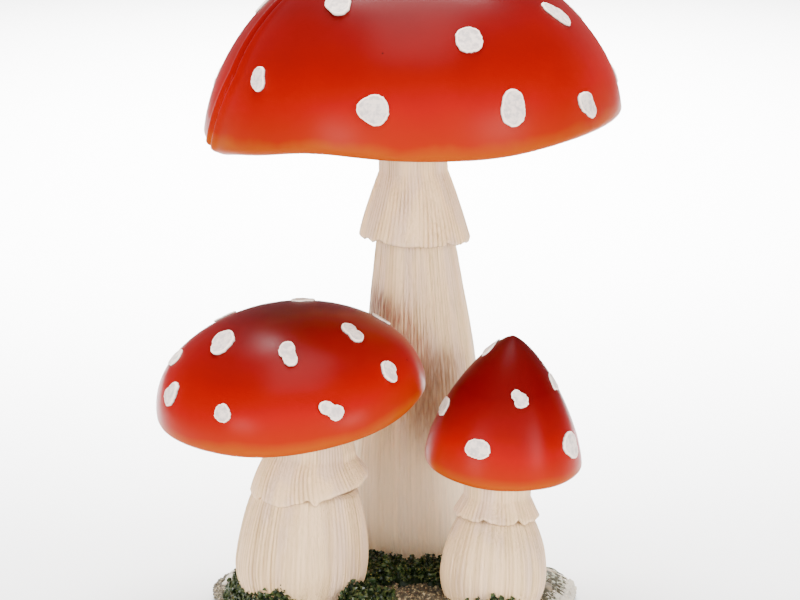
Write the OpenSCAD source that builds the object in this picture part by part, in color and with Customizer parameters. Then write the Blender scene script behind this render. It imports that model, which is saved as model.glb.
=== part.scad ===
// Mushroom cluster ornament: three toadstools on a mossy mound of soil.
// Millimetres, +Z up, -Y is the front. The origin is the middle of the felt underside.
// Each toadstool is cast in pieces, threaded on a steel core rod and glued.

/* [Base] */
// Width of the base, side to side
base_w = 158; // [154:1:180]
// Depth of the base, front to back
base_d = 166; // [160:1:180]
// Height of the soil at the middle of the base
soil_h = 17; // [15:0.5:19]
// Height of the upright edge of the base
edge_h = 2.5; // [1.5:0.5:4]
// Height of the lumps in the soil
soil_lump = 0.8; // [0:0.1:1.2]
// Thickness of the felt under the base
felt_t = 1.5; // [1:0.1:2.5]
// How far the felt stops short of the edge of the base
felt_inset = 2; // [1:0.5:4]
// Height of the stem seats above the ground
seat_z = 9; // [8:0.5:10]
// Height of the moss over the soil
moss_h = 6; // [4:0.5:8]
// Width of a pebble
pebble_w = 8; // [5:0.5:9]

/* [Tall toadstool] */
// Place of the stem behind the middle
tall_y = 28; // [27:0.5:32]
// Lean of the stem to the left, in degrees
tall_lean = 1.3; // [0:0.1:2]
// Radius of the foot on its seat
tall_foot_r = 24; // [22:0.5:26]
// Radius of the bulb
tall_bulb_r = 30; // [27:0.5:31]
// Height of the widest place of the bulb
tall_bulb_z = 26; // [20:1:32]
// Radius of the shoulder that carries the skirt
tall_shoulder_r = 16.8; // [16:0.1:18]
// Height of the neck, from the shoulder up to the rim of the cap
tall_neck_h = 52; // [49:1:56]
// Radius of the top of the skirt
tall_skirt_r = 15; // [14:0.5:16]
// Radius of the lip of the skirt
tall_lip_r = 24.2; // [22:0.2:26]
// How far the lip hangs below the shoulder
tall_lip_drop = 5.5; // [3:0.5:7]
// Height of the flare of the skirt
tall_flare_h = 34; // [26:1:40]
// Tilt of the lip up to the right, in degrees
tall_lip_tilt = 1; // [0:0.5:2]
// Diameter of the core rod
tall_rod_d = 6; // [5:0.5:8]
// Radius of the cap at the rim
tall_cap_r = 91; // [86:1:95]
// Height of the cap above its rim
tall_cap_h = 75; // [70:1:80]
// Height of the rim above the foot
tall_rim_z = 201; // [196:1:206]
// Tilt of the cap down to the front, in degrees
tall_pitch = 4; // [2:0.5:6]
// Tilt of the cap up to the right, in degrees
tall_roll = 1.8; // [0:0.1:3]
// Thickness of the wall of the cap
tall_wall = 5; // [4:0.5:6]
// Number of gills
tall_gill_count = 48; // [30:1:56]
// Width of a common spot
tall_spot_w = 13; // [10:0.5:15]

/* [Left toadstool] */
// Lean of the stem to the right, in degrees
left_lean = 2.8; // [1:0.1:3]
// Radius of the foot on its seat
left_foot_r = 20; // [18:0.5:22]
// Radius of the bulb
left_bulb_r = 27.8; // [26:0.2:28.4]
// Height of the widest place of the bulb
left_bulb_z = 22; // [18:1:26]
// Radius of the shoulder that carries the skirt
left_shoulder_r = 22; // [21:0.2:23]
// Height of the neck, from the shoulder up to the rim of the cap
left_neck_h = 39.5; // [37.5:0.5:42]
// Radius of the top of the skirt
left_skirt_r = 17.6; // [16:0.2:18.4]
// Radius of the lip of the skirt
left_lip_r = 25.2; // [24.6:0.2:26.4]
// How far the lip hangs below the shoulder
left_lip_drop = 3; // [2:0.5:4]
// Height of the flare of the skirt
left_flare_h = 17; // [14:1:20]
// Tilt of the lip up to the right, in degrees
left_lip_tilt = 6; // [3:0.5:8]
// Diameter of the core rod
left_rod_d = 4; // [3:0.5:6]
// Radius of the cap at the rim
left_cap_r = 57.4; // [54:0.2:58]
// Height of the cap above its rim
left_cap_h = 37.5; // [35:0.5:42]
// Height of the rim above the foot
left_rim_z = 90.5; // [88:0.5:94]
// How far the cap sits to the left of its stem
left_cap_x = 8; // [6:0.5:9]
// How far the cap sits in front of its stem
left_cap_y = 5; // [4:0.5:7]
// Tilt of the cap down to the front, in degrees
left_pitch = 10.4; // [8:0.2:12]
// Tilt of the cap up to the right, in degrees
left_roll = 9; // [7:0.5:10]
// Thickness of the wall of the cap
left_wall = 4; // [3:0.5:5]
// Number of gills
left_gill_count = 40; // [26:1:48]
// Width of a common spot
left_spot_w = 11; // [8:0.5:13]

/* [Right toadstool] */
// Lean of the stem to the right, in degrees
right_lean = 2.3; // [1:0.1:3]
// Radius of the foot on its seat
right_foot_r = 17; // [15:0.5:19]
// Radius of the bulb
right_bulb_r = 22.2; // [21:0.2:23]
// Height of the widest place of the bulb
right_bulb_z = 17; // [14:1:20]
// Radius of the shoulder that carries the skirt
right_shoulder_r = 15.2; // [14.8:0.2:15.8]
// Height of the neck, from the shoulder up to the rim of the cap
right_neck_h = 24; // [22:0.5:25.5]
// Radius of the top of the skirt
right_skirt_r = 14.2; // [13.4:0.2:14.6]
// Radius of the lip of the skirt
right_lip_r = 18.2; // [18:0.2:19.4]
// How far the lip hangs below the shoulder
right_lip_drop = 2.5; // [1.5:0.5:3]
// Height of the flare of the skirt
right_flare_h = 11; // [9:0.5:13]
// Tilt of the lip up to the right, in degrees
right_lip_tilt = -1; // [-2:0.5:0]
// Diameter of the core rod
right_rod_d = 4; // [3:0.5:6]
// Radius of the cap at the rim
right_cap_r = 33.3; // [31:0.2:35]
// Height of the cap above its rim
right_cap_h = 55; // [50:0.5:60]
// Height of the rim above the foot
right_rim_z = 64; // [62:0.5:67]
// How far the cap sits to the right of its stem
right_cap_x = 1.8; // [0:0.2:3]
// Tilt of the cap down to the front, in degrees
right_pitch = 8.5; // [6:0.5:10]
// Tilt of the cap up to the right, in degrees
right_roll = -1.5; // [-3:0.5:0]
// Thickness of the wall of the cap
right_wall = 4; // [3:0.5:5]
// Number of gills
right_gill_count = 32; // [20:1:40]
// Width of a common spot
right_spot_w = 9; // [7:0.5:11]

/* [Casting] */
// Height of a spot above the cap
spot_h = 1.4; // [0.8:0.1:2]
// Thickness of a gill plate over its gills
gill_plate_t = 3; // [2:0.5:4]
// Depth of the gills
gill_h = 3; // [2.5:0.5:5]
// Height of the hem where the rim of a cap turns under
hem_h = 2; // [1.5:0.5:2.5]
// Wall of a skirt at its top
skirt_wall = 4; // [3:0.5:5]
// Wall of a boss round the top of a skirt
boss_wall = 3; // [2:0.5:4]
// Depth of a core rod in the base
rod_sink = 5; // [3:0.5:6]
// Depth of a core rod in the cap boss
rod_top = 12; // [8:1:16]
// Film of glue round a core rod, in a socket and at a seat
glue = 0.2; // [0.1:0.05:0.3]
// Clearance between castings that stand beside each other
gap = 0.4; // [0.3:0.05:0.6]

/* [Hidden] */

cream = "#e9dfc8";
red = "#b3211a";
moss_green = "#2c4023";
soil_brown = "#8a7550";
stone_grey = "#a99b80";
felt_green = "#33402f";
gill_cream = "#efe4cb";
spot_white = "#f1ede6";
steel = "#b8bcc0";

// Overrun of a cut past the face that it opens
cut = gap;
// Film of glue under a clump of moss
moss_film = 0.6;
// Sides and rings of the faceted castings
soil_sides = 60;
soil_rings = 12;
cap_sides = 48;
cap_rings = 11;
stem_steps = 14;
spot_sides = 12;
moss_sides = 24;
moss_rings = 4;
circle_fn = 64;
// The lowest lump of a pad, as a share of its height
lowest_lump_share = 0.6;
// How late a stem narrows above its bulb: 1 is a straight cone
tall_taper = 1.25;
small_taper = 2;
turn = 360;
quarter = 90;

// Place of each stem to the right and to the back, as shares of half the base that way
tall_place_share = 0.158;
left_place_shares = [-0.5, -0.41];
right_place_shares = [0.528, -0.458];

// Each toadstool's sizes in one list, which the functions below read by name
tall = [[tall_place_share * base_w / 2, tall_y], -tall_lean, tall_foot_r, [tall_bulb_r, tall_bulb_z],
        [tall_shoulder_r, tall_neck_h], tall_taper, tall_rod_d,
        [tall_skirt_r, tall_lip_r, tall_lip_drop, tall_flare_h, tall_lip_tilt],
        [tall_cap_r, tall_cap_h, tall_wall], [0, 0, tall_rim_z], [tall_pitch, tall_roll]];
left = [[left_place_shares.x * base_w / 2, left_place_shares.y * base_d / 2],
        left_lean, left_foot_r, [left_bulb_r, left_bulb_z],
        [left_shoulder_r, left_neck_h], small_taper, left_rod_d,
        [left_skirt_r, left_lip_r, left_lip_drop, left_flare_h, left_lip_tilt],
        [left_cap_r, left_cap_h, left_wall], [-left_cap_x, -left_cap_y, left_rim_z],
        [left_pitch, left_roll]];
right = [[right_place_shares.x * base_w / 2, right_place_shares.y * base_d / 2],
         right_lean, right_foot_r, [right_bulb_r, right_bulb_z],
         [right_shoulder_r, right_neck_h], small_taper, right_rod_d,
         [right_skirt_r, right_lip_r, right_lip_drop, right_flare_h, right_lip_tilt],
         [right_cap_r, right_cap_h, right_wall], [right_cap_x, 0, right_rim_z],
         [right_pitch, right_roll]];

function place(m) = m[0];
function lean(m) = m[1];
function foot_r(m) = m[2];
function bulb_r(m) = m[3][0];
function bulb_z(m) = m[3][1];
function shoulder_r(m) = m[4][0];
function shoulder_z(m) = rim_at(m).z - m[4][1];
function taper(m) = m[5];
function rod_d(m) = m[6];
function skirt_r(m) = m[7][0];
function lip_r(m) = m[7][1];
function lip_drop(m) = m[7][2];
function flare_h(m) = m[7][3];
function lip_tilt(m) = m[7][4];
function cap_r(m) = m[8][0];
function cap_h(m) = m[8][1];
function wall(m) = m[8][2];
function rim_at(m) = m[9];
function pitch(m) = m[10][0];
function roll(m) = m[10][1];

// Shape of each cap: how pointed it is, then the bearing, the spread and the depth, as a share of
// the height, of the place where its rim sags, and the same of a flat on its flank
tall_form_shares = [1, [218, 24, 0.016], [190, 50, 0.07]];
left_form_shares = [1, [262, 45, 0.04], [30, 40, 0.02]];
right_form_shares = [1.43, [262, 45, 0.02], [170, 40, 0.02]];
// Where the gills are deepest, as shares of the plate's radius
fin_shares = [0.6, 0.92];
// Waves of every rim, each as a count and a share of the radius
rim_wave_shares = [[3, 0.006], [7, 0.004]];

// Spots of each cap: bearing, share of the way from crown to rim, then width and length as shares
// of the common spot, and the turn of the width from level
tall_spot_shares = [
    [238, 0.4, 1.1, 0.95, 50], [290, 0.59, 1.05, 0.9, -40], [218, 0.73, 1, 0.7, 57],
    [260, 0.82, 1.05, 1, 13], [298, 0.86, 1.3, 0.9, -75], [325, 0.9, 1, 0.85, 33],
    [336, 0.55, 1.35, 1.1, 54], [191, 0.51, 1, 0.9, 0], [188, 0.84, 0.9, 0.75, 0],
    [350, 0.9, 0.85, 0.75, 20], [20, 0.7, 1.1, 0.9, 30], [46, 0.88, 0.9, 1, 0],
    [70, 0.55, 1.2, 1, -20], [96, 0.8, 1, 0.85, 10], [126, 0.62, 1.15, 0.9, 40],
    [150, 0.87, 0.95, 1.1, 0], [165, 0.36, 1.1, 0.95, -30], [30, 0.34, 1, 0.9, 0],
    [105, 0.28, 0.95, 1.1, 25], [310, 0.22, 1.05, 0.9, 0], [210, 0.13, 1, 0.85, 15]];
left_spot_shares = [
    [206, 0.33, 1.35, 1.05, 20], [276, 0.36, 1.35, 0.75, -89], [337, 0.4, 1.4, 0.9, -36],
    [329, 0.7, 1.1, 0.75, -25], [204, 0.72, 1.2, 0.8, 18], [241, 0.74, 0.85, 0.75, 50],
    [290, 0.79, 1.05, 0.7, 29], [68, 0.18, 1, 0.8, 0], [25, 0.58, 1.1, 0.8, 0],
    [135, 0.42, 0.9, 0.8, 0], [178, 0.6, 1, 0.8, 0], [58, 0.78, 1.1, 0.85, 20],
    [92, 0.56, 1, 0.9, 0], [118, 0.82, 0.95, 0.8, -15], [152, 0.78, 1, 0.75, 10]];
right_spot_shares = [
    [283, 0.49, 1, 0.8, 77], [247, 0.75, 1.25, 1, -10], [335, 0.76, 1.35, 1.15, 80],
    [185, 0.67, 1.1, 0.95, 90], [158, 0.27, 0.9, 0.7, 0], [351, 0.46, 1, 0.85, 90],
    [22, 0.82, 1, 0.85, 0], [62, 0.56, 1.05, 0.85, 60], [98, 0.8, 1.1, 0.9, 0],
    [128, 0.55, 0.9, 0.8, 30], [150, 0.84, 1, 0.8, 0]];

// Moss clumps: bearing, share of the way out, then width along the edge and length across it as
// shares of the base that way, the height as a share of the common moss, and a seed for the lumps
moss_centre_shares = [272, 0.22, 0.34, 0.32, 1.2, 1];
moss_left_shares = [214, 0.84, 0.36, 0.17, 1.4, 2];
moss_front_shares = [258, 0.68, 0.16, 0.13, 1, 3];
moss_right_shares = [311, 0.87, 0.22, 0.13, 1, 4];
moss_back_shares = [76, 0.73, 0.45, 0.145, 1.2, 5];
moss_side_shares = [146, 0.7, 0.29, 0.19, 1.1, 6];
// Pebbles: bearing, share of the way out, size as a share of the common pebble
pebble_shares = [[270, 0.86, 1], [281, 0.78, 0.7], [290, 0.88, 0.85], [262, 0.93, 0.6],
                 [352, 0.86, 1], [4, 0.8, 0.75], [14, 0.88, 0.9], [22, 0.7, 0.7],
                 [172, 0.9, 0.9], [182, 0.82, 1], [161, 0.93, 0.65], [118, 0.93, 0.7]];

// Difference of two bearings, from -180 to 180
function bearing_gap(a, b) = (a - b + turn * 1.5) % turn - turn / 2;

// A soft bump of height 1 round bearing b
function swell(a, b, spread) = exp(-pow(bearing_gap(a, b) / spread, 2));

// Radius of a stem at height z above its foot
function stem_r(m, z) = z < bulb_z(m)
    ? foot_r(m) + (bulb_r(m) - foot_r(m)) * sin(quarter * z / bulb_z(m))
    : bulb_r(m) - (bulb_r(m) - shoulder_r(m))
      * pow(min(1, (z - bulb_z(m)) / (shoulder_z(m) - bulb_z(m))), taper(m));

// Outline of a stem from the foot to height z1, widened by a clearance
function stem_line(m, z1, clear = 0) =
    [for (i = [0:stem_steps]) let(z = z1 * i / stem_steps) [stem_r(m, z) + clear, z]];

function head_r(m) = skirt_r(m) - skirt_wall;
function boss_r(m) = skirt_r(m) + boss_wall;
// Underside of a gill plate over the rim
gill_low = gill_h - hem_h;
// Height of the boss face above the foot: clear of the tilted gill plate
function boss_z(m) = rim_at(m).z + gill_low + gill_plate_t + gap
    + (boss_r(m) + norm([rim_at(m).x, rim_at(m).y])) * sin(norm([pitch(m), roll(m)]));

// Point on a cap: bearing a, share t of the way from crown to rim, moved out by off
function cap_at(m, form, a, t, off) =
    let(p = quarter * t,
        wave = 1 + t * (rim_wave_shares[0][1] * sin(rim_wave_shares[0][0] * a)
                        + rim_wave_shares[1][1] * cos(rim_wave_shares[1][0] * a)),
        flat = 1 - form[2][2] * swell(a, form[2][0], form[2][1]) * sin(2 * p),
        sag = cap_h(m) * form[1][2] * swell(a, form[1][0], form[1][1]) * pow(t, 4),
        r = (cap_r(m) + off) * pow(sin(p), form[0]) * wave * flat,
        z = (cap_h(m) + off) * pow(cos(p), form[0]) - sag)
    [r * cos(a), r * sin(a), z];

function cap_ring(m, form, t, off, drop = 0, sides = cap_sides) =
    [for (i = [0:sides - 1]) cap_at(m, form, turn * i / sides, t, off) - [0, 0, drop]];

// Radius of the base at a bearing
function edge_r(a) =
    let(w = base_w / 2, d = base_d / 2)
    w * d / norm([d * cos(a), w * sin(a)])
    * (1 + 0.014 * sin(3 * a + 20) + 0.01 * sin(5 * a - 10) + 0.006 * sin(9 * a));

// Point on the soil: bearing a, share s of the way out, lifted by off
function soil_at(a, s, off) =
    let(r = edge_r(a) * s,
        lump = soil_lump * sin(4 * a + turn * s) * cos(3 * a - turn * s) * (1 - pow(s, 8)) * s,
        z = felt_t + edge_h + (soil_h - felt_t - edge_h) * (1 - pow(s, 6)) + lump)
    [r * cos(a), r * sin(a), z + off];

// A place on a skin, x along the bearing and y out from the centre, near bearing a and share s
function on_skin(skin, a, s, most) =
    let(step = 0.01,
        out = norm(skin(a, s + step, 0) - skin(a, s - step, 0)) / (2 * step),
        at = skin(a, s, 0),
        round_r = norm([at.x, at.y]) / s)
    function(x, y, off)
        let(q = [s + y / out, x / round_r])
        skin(a + atan2(q.y, q.x), min(most, norm(q)), off);

// A closed skin: a bottom point, rings of points from the bottom to the top, and a top point
module closed(bottom, stack, top) {
    n = len(stack[0]);
    points = [bottom, for (ring = stack) for (p = ring) p, top];
    last = len(points) - 1;
    faces = [
        for (i = [0:n - 1]) [0, 1 + i, 1 + (i + 1) % n],
        for (k = [0:len(stack) - 2]) for (i = [0:n - 1])
            let(a = 1 + k * n + i, b = 1 + k * n + (i + 1) % n)
            each [[a, a + n, b + n], [a, b + n, b]],
        for (i = [0:n - 1]) [last, last - n + (i + 1) % n, last - n + i]];
    polyhedron(points, faces);
}

// A lumpy pad that follows a skin: its size, turn, height, film below, sides, rings and seed
module pad(on, w, l, lie, h, film, sides, rings, seed) {
    lumps = rands(lowest_lump_share, 1, sides * (rings + 1), seed);
    edge = function(i) let(b = turn * i / sides)
        1 + 0.12 * sin(2 * b + quarter * seed) + 0.08 * sin(3 * b + quarter / 2 * seed);
    ring = function(share, lift) [for (i = [0:sides - 1])
        let(b = -turn * i / sides,
            x = w / 2 * cos(b) * share * edge(i),
            y = l / 2 * sin(b) * share * edge(i))
        on(x * cos(lie) - y * sin(lie), x * sin(lie) + y * cos(lie), lift(i))];
    stack = concat(
        [for (k = [1:rings]) ring(k / rings, function(i) film)],
        [ring(0.97, function(i) film + h * 0.45 * lumps[i])],
        [for (k = [rings - 1:-1:1])
            ring(k / rings * 0.9, function(i) film + h * lumps[k * sides + i])]);
    closed(on(0, 0, film), stack, on(0, 0, film + h));
}

// Everything of one toadstool stands in its own frame, on the centre of its foot
module plant(m) translate([place(m).x, place(m).y, seat_z]) rotate([0, lean(m), 0]) children();

// The frame of a cap, on the middle of its rim
module on_rim(m) translate(rim_at(m)) rotate([0, -roll(m), 0]) rotate([pitch(m), 0, 0]) children();

module stem(m) plant(m) difference() {
    rotate_extrude($fn = circle_fn)
        polygon([[0, 0], each stem_line(m, shoulder_z(m)),
                 [head_r(m), shoulder_z(m)], [head_r(m), boss_z(m)], [0, boss_z(m)]]);
    translate([0, 0, -cut]) cylinder(d = rod_d(m) + 2 * glue, h = boss_z(m) + 2 * cut, $fn = circle_fn);
}

module rod(m) plant(m)
    translate([0, 0, -rod_sink]) cylinder(d = rod_d(m), h = rod_sink + boss_z(m) + rod_top, $fn = circle_fn);

// Room for a foot and its core rod
module foot_cut(m) plant(m) {
    rotate_extrude($fn = circle_fn)
        polygon([[0, 0], each stem_line(m, bulb_z(m), gap), [bulb_r(m) + gap, bulb_z(m) + moss_h],
                 [0, bulb_z(m) + moss_h]]);
    translate([0, 0, -rod_sink - glue])
        cylinder(d = rod_d(m) + 2 * glue, h = rod_sink + bulb_z(m), $fn = circle_fn);
}

// A sleeve over the stem head: a tilted flare whose top is hidden in a straight neck
module skirt(m) {
    rise = boss_z(m) - glue - shoulder_z(m);
    slope = (flare_h(m) - 2 * hem_h) / (lip_r(m) - skirt_r(m));
    hidden = skirt_wall / 4;
    low = shoulder_z(m) - lip_drop(m) - lip_r(m) * sin(abs(lip_tilt(m))) - cut;
    plant(m) translate([0, 0, shoulder_z(m)]) difference() {
        union() {
            rotate([0, -lip_tilt(m), 0]) rotate_extrude($fn = circle_fn)
                polygon([[0, -lip_drop(m)], [lip_r(m) - hem_h, -lip_drop(m)],
                         [lip_r(m), -lip_drop(m) + hem_h], [lip_r(m), -lip_drop(m) + 2 * hem_h],
                         [skirt_r(m) - hidden, flare_h(m) - lip_drop(m) + hidden * slope],
                         [0, flare_h(m) - lip_drop(m) + hidden * slope]]);
            cylinder(r = skirt_r(m), h = rise, $fn = circle_fn);
        }
        translate([0, 0, -cut]) cylinder(r = head_r(m) + glue, h = rise + 2 * cut, $fn = circle_fn);
        translate([0, 0, -shoulder_z(m)]) rotate_extrude($fn = circle_fn)
            polygon([[0, low], [stem_r(m, low) + gap, low], [shoulder_r(m) + gap, shoulder_z(m)],
                     [0, shoulder_z(m)]]);
    }
}

module cap(m, form) {
    up = [for (k = [cap_rings:-1:1]) k / cap_rings];
    low = cap_h(m) * form[1][2];
    plant(m) difference() {
        on_rim(m) closed([0, 0, -hem_h - low],
                         [cap_ring(m, form, 1, -hem_h, hem_h), cap_ring(m, form, 1, 0, hem_h / 2),
                          for (t = up) cap_ring(m, form, t, 0)],
                         [0, 0, cap_h(m)]);
        difference() {
            on_rim(m) closed([0, 0, -2 * hem_h - low],
                             [cap_ring(m, form, 1, -wall(m), 2 * hem_h),
                              for (t = up) cap_ring(m, form, t, -wall(m))],
                             [0, 0, cap_h(m) - wall(m)]);
            translate([0, 0, boss_z(m)]) cylinder(r = boss_r(m), h = cap_h(m), $fn = circle_fn);
        }
        translate([0, 0, boss_z(m) - cut])
            cylinder(d = rod_d(m) + 2 * glue, h = cut + rod_top + glue, $fn = circle_fn);
    }
}

// Room for the facets of a cap inside its true curve
function facet_sag(m) = cap_r(m) * (1 - cos(turn / cap_sides / 2));

module gills(m, form, count) {
    inset = wall(m) + gap + facet_sag(m);
    inside = cap_h(m) - inset;
    share_at = function(z) acos(pow(z / inside, 1 / form[0])) / quarter;
    sides = 2 * count;
    fin = function(share, depth) [for (i = [0:sides - 1])
        let(p = cap_at(m, form, turn * i / sides, share_at(gill_low), -inset))
        [p.x * share, p.y * share, p.z - (i % 2) * depth]];
    hub = (skirt_r(m) + 2 * gap) / cap_r(m);
    plant(m) difference() {
        on_rim(m) closed([0, 0, gill_low],
                         [fin(hub, gill_h / 2), fin(fin_shares[0], gill_h), fin(fin_shares[1], gill_h),
                          fin(1, 0),
                          cap_ring(m, form, share_at(gill_low + gill_plate_t), -inset, 0, sides)],
                         [0, 0, gill_low + gill_plate_t]);
        translate([0, 0, rim_at(m).z - skirt_r(m)])
            cylinder(r = skirt_r(m) + gap, h = boss_z(m) - rim_at(m).z + 2 * skirt_r(m), $fn = circle_fn);
    }
}

module spots(m, form, table, size) {
    skin = function(a, s, off) cap_at(m, form, a, s, off);
    plant(m) on_rim(m) for (i = [0:len(table) - 1]) let(spot = table[i])
        pad(on_skin(skin, spot[0], spot[1], 1), spot[2] * size, spot[3] * size, spot[4], spot_h,
            glue, spot_sides, 2, i);
}

module moss(clump) color(moss_green) difference() {
    pad(on_skin(function(a, s, off) soil_at(a, s, off), clump[0], clump[1], 0.985),
        clump[2] * 2 * edge_r(clump[0] + quarter), clump[3] * 2 * edge_r(clump[0]), 0,
        clump[4] * moss_h, moss_film, moss_sides, moss_rings, clump[5]);
    foot_cut(tall);
    foot_cut(left);
    foot_cut(right);
}

module base_casting() color(soil_brown) difference() {
    ring = function(s) [for (j = [0:soil_sides - 1]) soil_at(turn * j / soil_sides, s, 0)];
    closed([0, 0, felt_t],
           [[for (p = ring(1)) [p.x, p.y, felt_t]],
            for (k = [soil_rings:-1:1]) ring(sin(quarter * k / soil_rings))],
           soil_at(0, 0, 0));
    foot_cut(tall);
    foot_cut(left);
    foot_cut(right);
}

module base_felt() color(felt_green) linear_extrude(felt_t)
    polygon([for (j = [0:soil_sides - 1])
        let(a = turn * j / soil_sides, r = edge_r(a) - felt_inset) [r * cos(a), r * sin(a)]]);

module moss_centre() moss(moss_centre_shares);
module moss_left() moss(moss_left_shares);
module moss_front() moss(moss_front_shares);
module moss_right() moss(moss_right_shares);
module moss_back() moss(moss_back_shares);
module moss_side() moss(moss_side_shares);

module pebbles() color(stone_grey) for (i = [0:len(pebble_shares) - 1]) {
    pebble = pebble_shares[i];
    size = pebble[2] * pebble_w;
    pad(on_skin(function(a, s, off) soil_at(a, s, off), pebble[0], pebble[1], 1),
        size, size * 0.75, turn / 9 * i, size * 0.45, gap, spot_sides, 2, i);
}

module tall_stem() color(cream) stem(tall);
module tall_rod() color(steel) rod(tall);
module tall_skirt() color(cream) skirt(tall);
module tall_cap() color(red) cap(tall, tall_form_shares);
module tall_gills() color(gill_cream) gills(tall, tall_form_shares, tall_gill_count);
module tall_spots() color(spot_white) spots(tall, tall_form_shares, tall_spot_shares, tall_spot_w);

module left_stem() color(cream) stem(left);
module left_rod() color(steel) rod(left);
module left_skirt() color(cream) skirt(left);
module left_cap() color(red) cap(left, left_form_shares);
module left_gills() color(gill_cream) gills(left, left_form_shares, left_gill_count);
module left_spots() color(spot_white) spots(left, left_form_shares, left_spot_shares, left_spot_w);

module right_stem() color(cream) stem(right);
module right_rod() color(steel) rod(right);
module right_skirt() color(cream) skirt(right);
module right_cap() color(red) cap(right, right_form_shares);
module right_gills() color(gill_cream) gills(right, right_form_shares, right_gill_count);
module right_spots() color(spot_white) spots(right, right_form_shares, right_spot_shares, right_spot_w);

base_casting();
base_felt();
moss_centre();
moss_left();
moss_front();
moss_right();
moss_back();
moss_side();
pebbles();
tall_stem();
tall_rod();
tall_skirt();
tall_cap();
tall_gills();
tall_spots();
left_stem();
left_rod();
left_skirt();
left_cap();
left_gills();
left_spots();
right_stem();
right_rod();
right_skirt();
right_cap();
right_gills();
right_spots();
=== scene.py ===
import math

import bpy
import numpy as np
from bpy.props import FloatProperty, FloatVectorProperty, IntProperty, PointerProperty
from bpy.types import Operator, Panel, PropertyGroup
from mathutils import Euler, Matrix, Vector


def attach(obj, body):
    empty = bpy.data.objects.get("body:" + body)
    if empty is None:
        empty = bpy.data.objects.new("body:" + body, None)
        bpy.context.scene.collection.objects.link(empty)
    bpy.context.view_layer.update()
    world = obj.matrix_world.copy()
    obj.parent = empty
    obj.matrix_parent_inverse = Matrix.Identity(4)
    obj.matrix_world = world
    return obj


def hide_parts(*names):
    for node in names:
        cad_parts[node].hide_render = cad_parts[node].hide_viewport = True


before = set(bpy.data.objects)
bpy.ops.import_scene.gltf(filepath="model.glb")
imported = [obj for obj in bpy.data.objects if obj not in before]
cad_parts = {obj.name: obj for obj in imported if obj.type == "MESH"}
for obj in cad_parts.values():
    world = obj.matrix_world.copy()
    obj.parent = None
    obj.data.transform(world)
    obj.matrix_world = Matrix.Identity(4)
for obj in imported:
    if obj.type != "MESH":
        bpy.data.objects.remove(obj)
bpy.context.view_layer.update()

bl_info = {
    "name": "Mushroom cluster ornament",
    "version": (1, 0, 0),
    "blender": (4, 5, 0),
    "location": "3D View > Sidebar > Ornament",
    "description": "Paints and details three cast toadstools on a mossy mound",
    "category": "Object",
}

MM = 0.001
BODY = "root"
WHO = ("tall", "left", "right")

# Shape of each cap: how pointed it is, then the bearing, the spread and the depth of the place
# where its rim sags, and the same of a flat on its flank
FORM = {
    "tall": (1, (218, 24, 0.016), (190, 50, 0.07)),
    "left": (1, (262, 45, 0.04), (30, 40, 0.02)),
    "right": (1.43, (262, 45, 0.02), (178, 50, -0.025)),
}
RIM_WAVES = ((3, 0.006), (7, 0.004))
# Where the rim of a cap is worked up or down: bearing, spread, height in mm
LIFTS = {
    "tall": ((242, 20, 4.2), (293, 17, -1.6), (203, 8, -2.2)),
    "left": ((355, 30, 1.5),),
    "right": ((275, 40, 0.6),),
}
# Hand-worked hollows and swellings of each cap: bearing, share down, spread, height in mm
DENTS = {
    "tall": ((262, 0.8, 0.16, -0.5), (318, 0.72, 0.2, 0.8), (232, 0.6, 0.2, 0.7),
             (20, 0.6, 0.25, -0.6), (110, 0.7, 0.2, 0.6), (150, 0.5, 0.2, -0.5),
             (355, 0.62, 0.28, -2.6)),
    "left": ((250, 0.75, 0.2, 0.5), (300, 0.6, 0.2, -0.4), (40, 0.7, 0.2, 0.5),
             (140, 0.6, 0.25, -0.4), (0, 0.9, 0.15, -1.2)),
    "right": ((230, 0.7, 0.25, 0.3), (300, 0.75, 0.2, 0.3), (60, 0.6, 0.25, -0.3)),
}
# Places on a cap where the casting has a fold: bearings at rising shares down, and depth in mm
FOLDS = {"tall": (((0.36, 197), (0.45, 197.5), (0.6, 199.5), (0.75, 202), (0.86, 200),
                   (1.0, 197.5)), 2.2)}
# Nicks up into the lip of a skirt and nubs down from it: bearing, spread, height in mm
NICKS = {
    "tall": ((228, 6, 1.2), (284, 9, -0.7), (310, 5, 1.0), (262, 12, -0.5)),
    "left": ((217, 4, 2.0), (279, 4, -2.2), (272, 4, 1.2), (300, 8, 0.8), (240, 10, -0.6)),
    "right": ((250, 5, 1.0), (300, 4, 1.6), (312, 5, -1.0), (285, 9, -0.5)),
}
# Flares of the skirts: bearing, spread and height in mm of a bulge, a shift of the lip to the right
# in mm, and how far up the bulge ends as a share of the flare
FLARES = {"tall": (180, 60, 1.3, 0, 1), "left": (0, 60, 3.0, 1.4, 1.6), "right": (180, 60, 0, 0, 1)}
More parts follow.
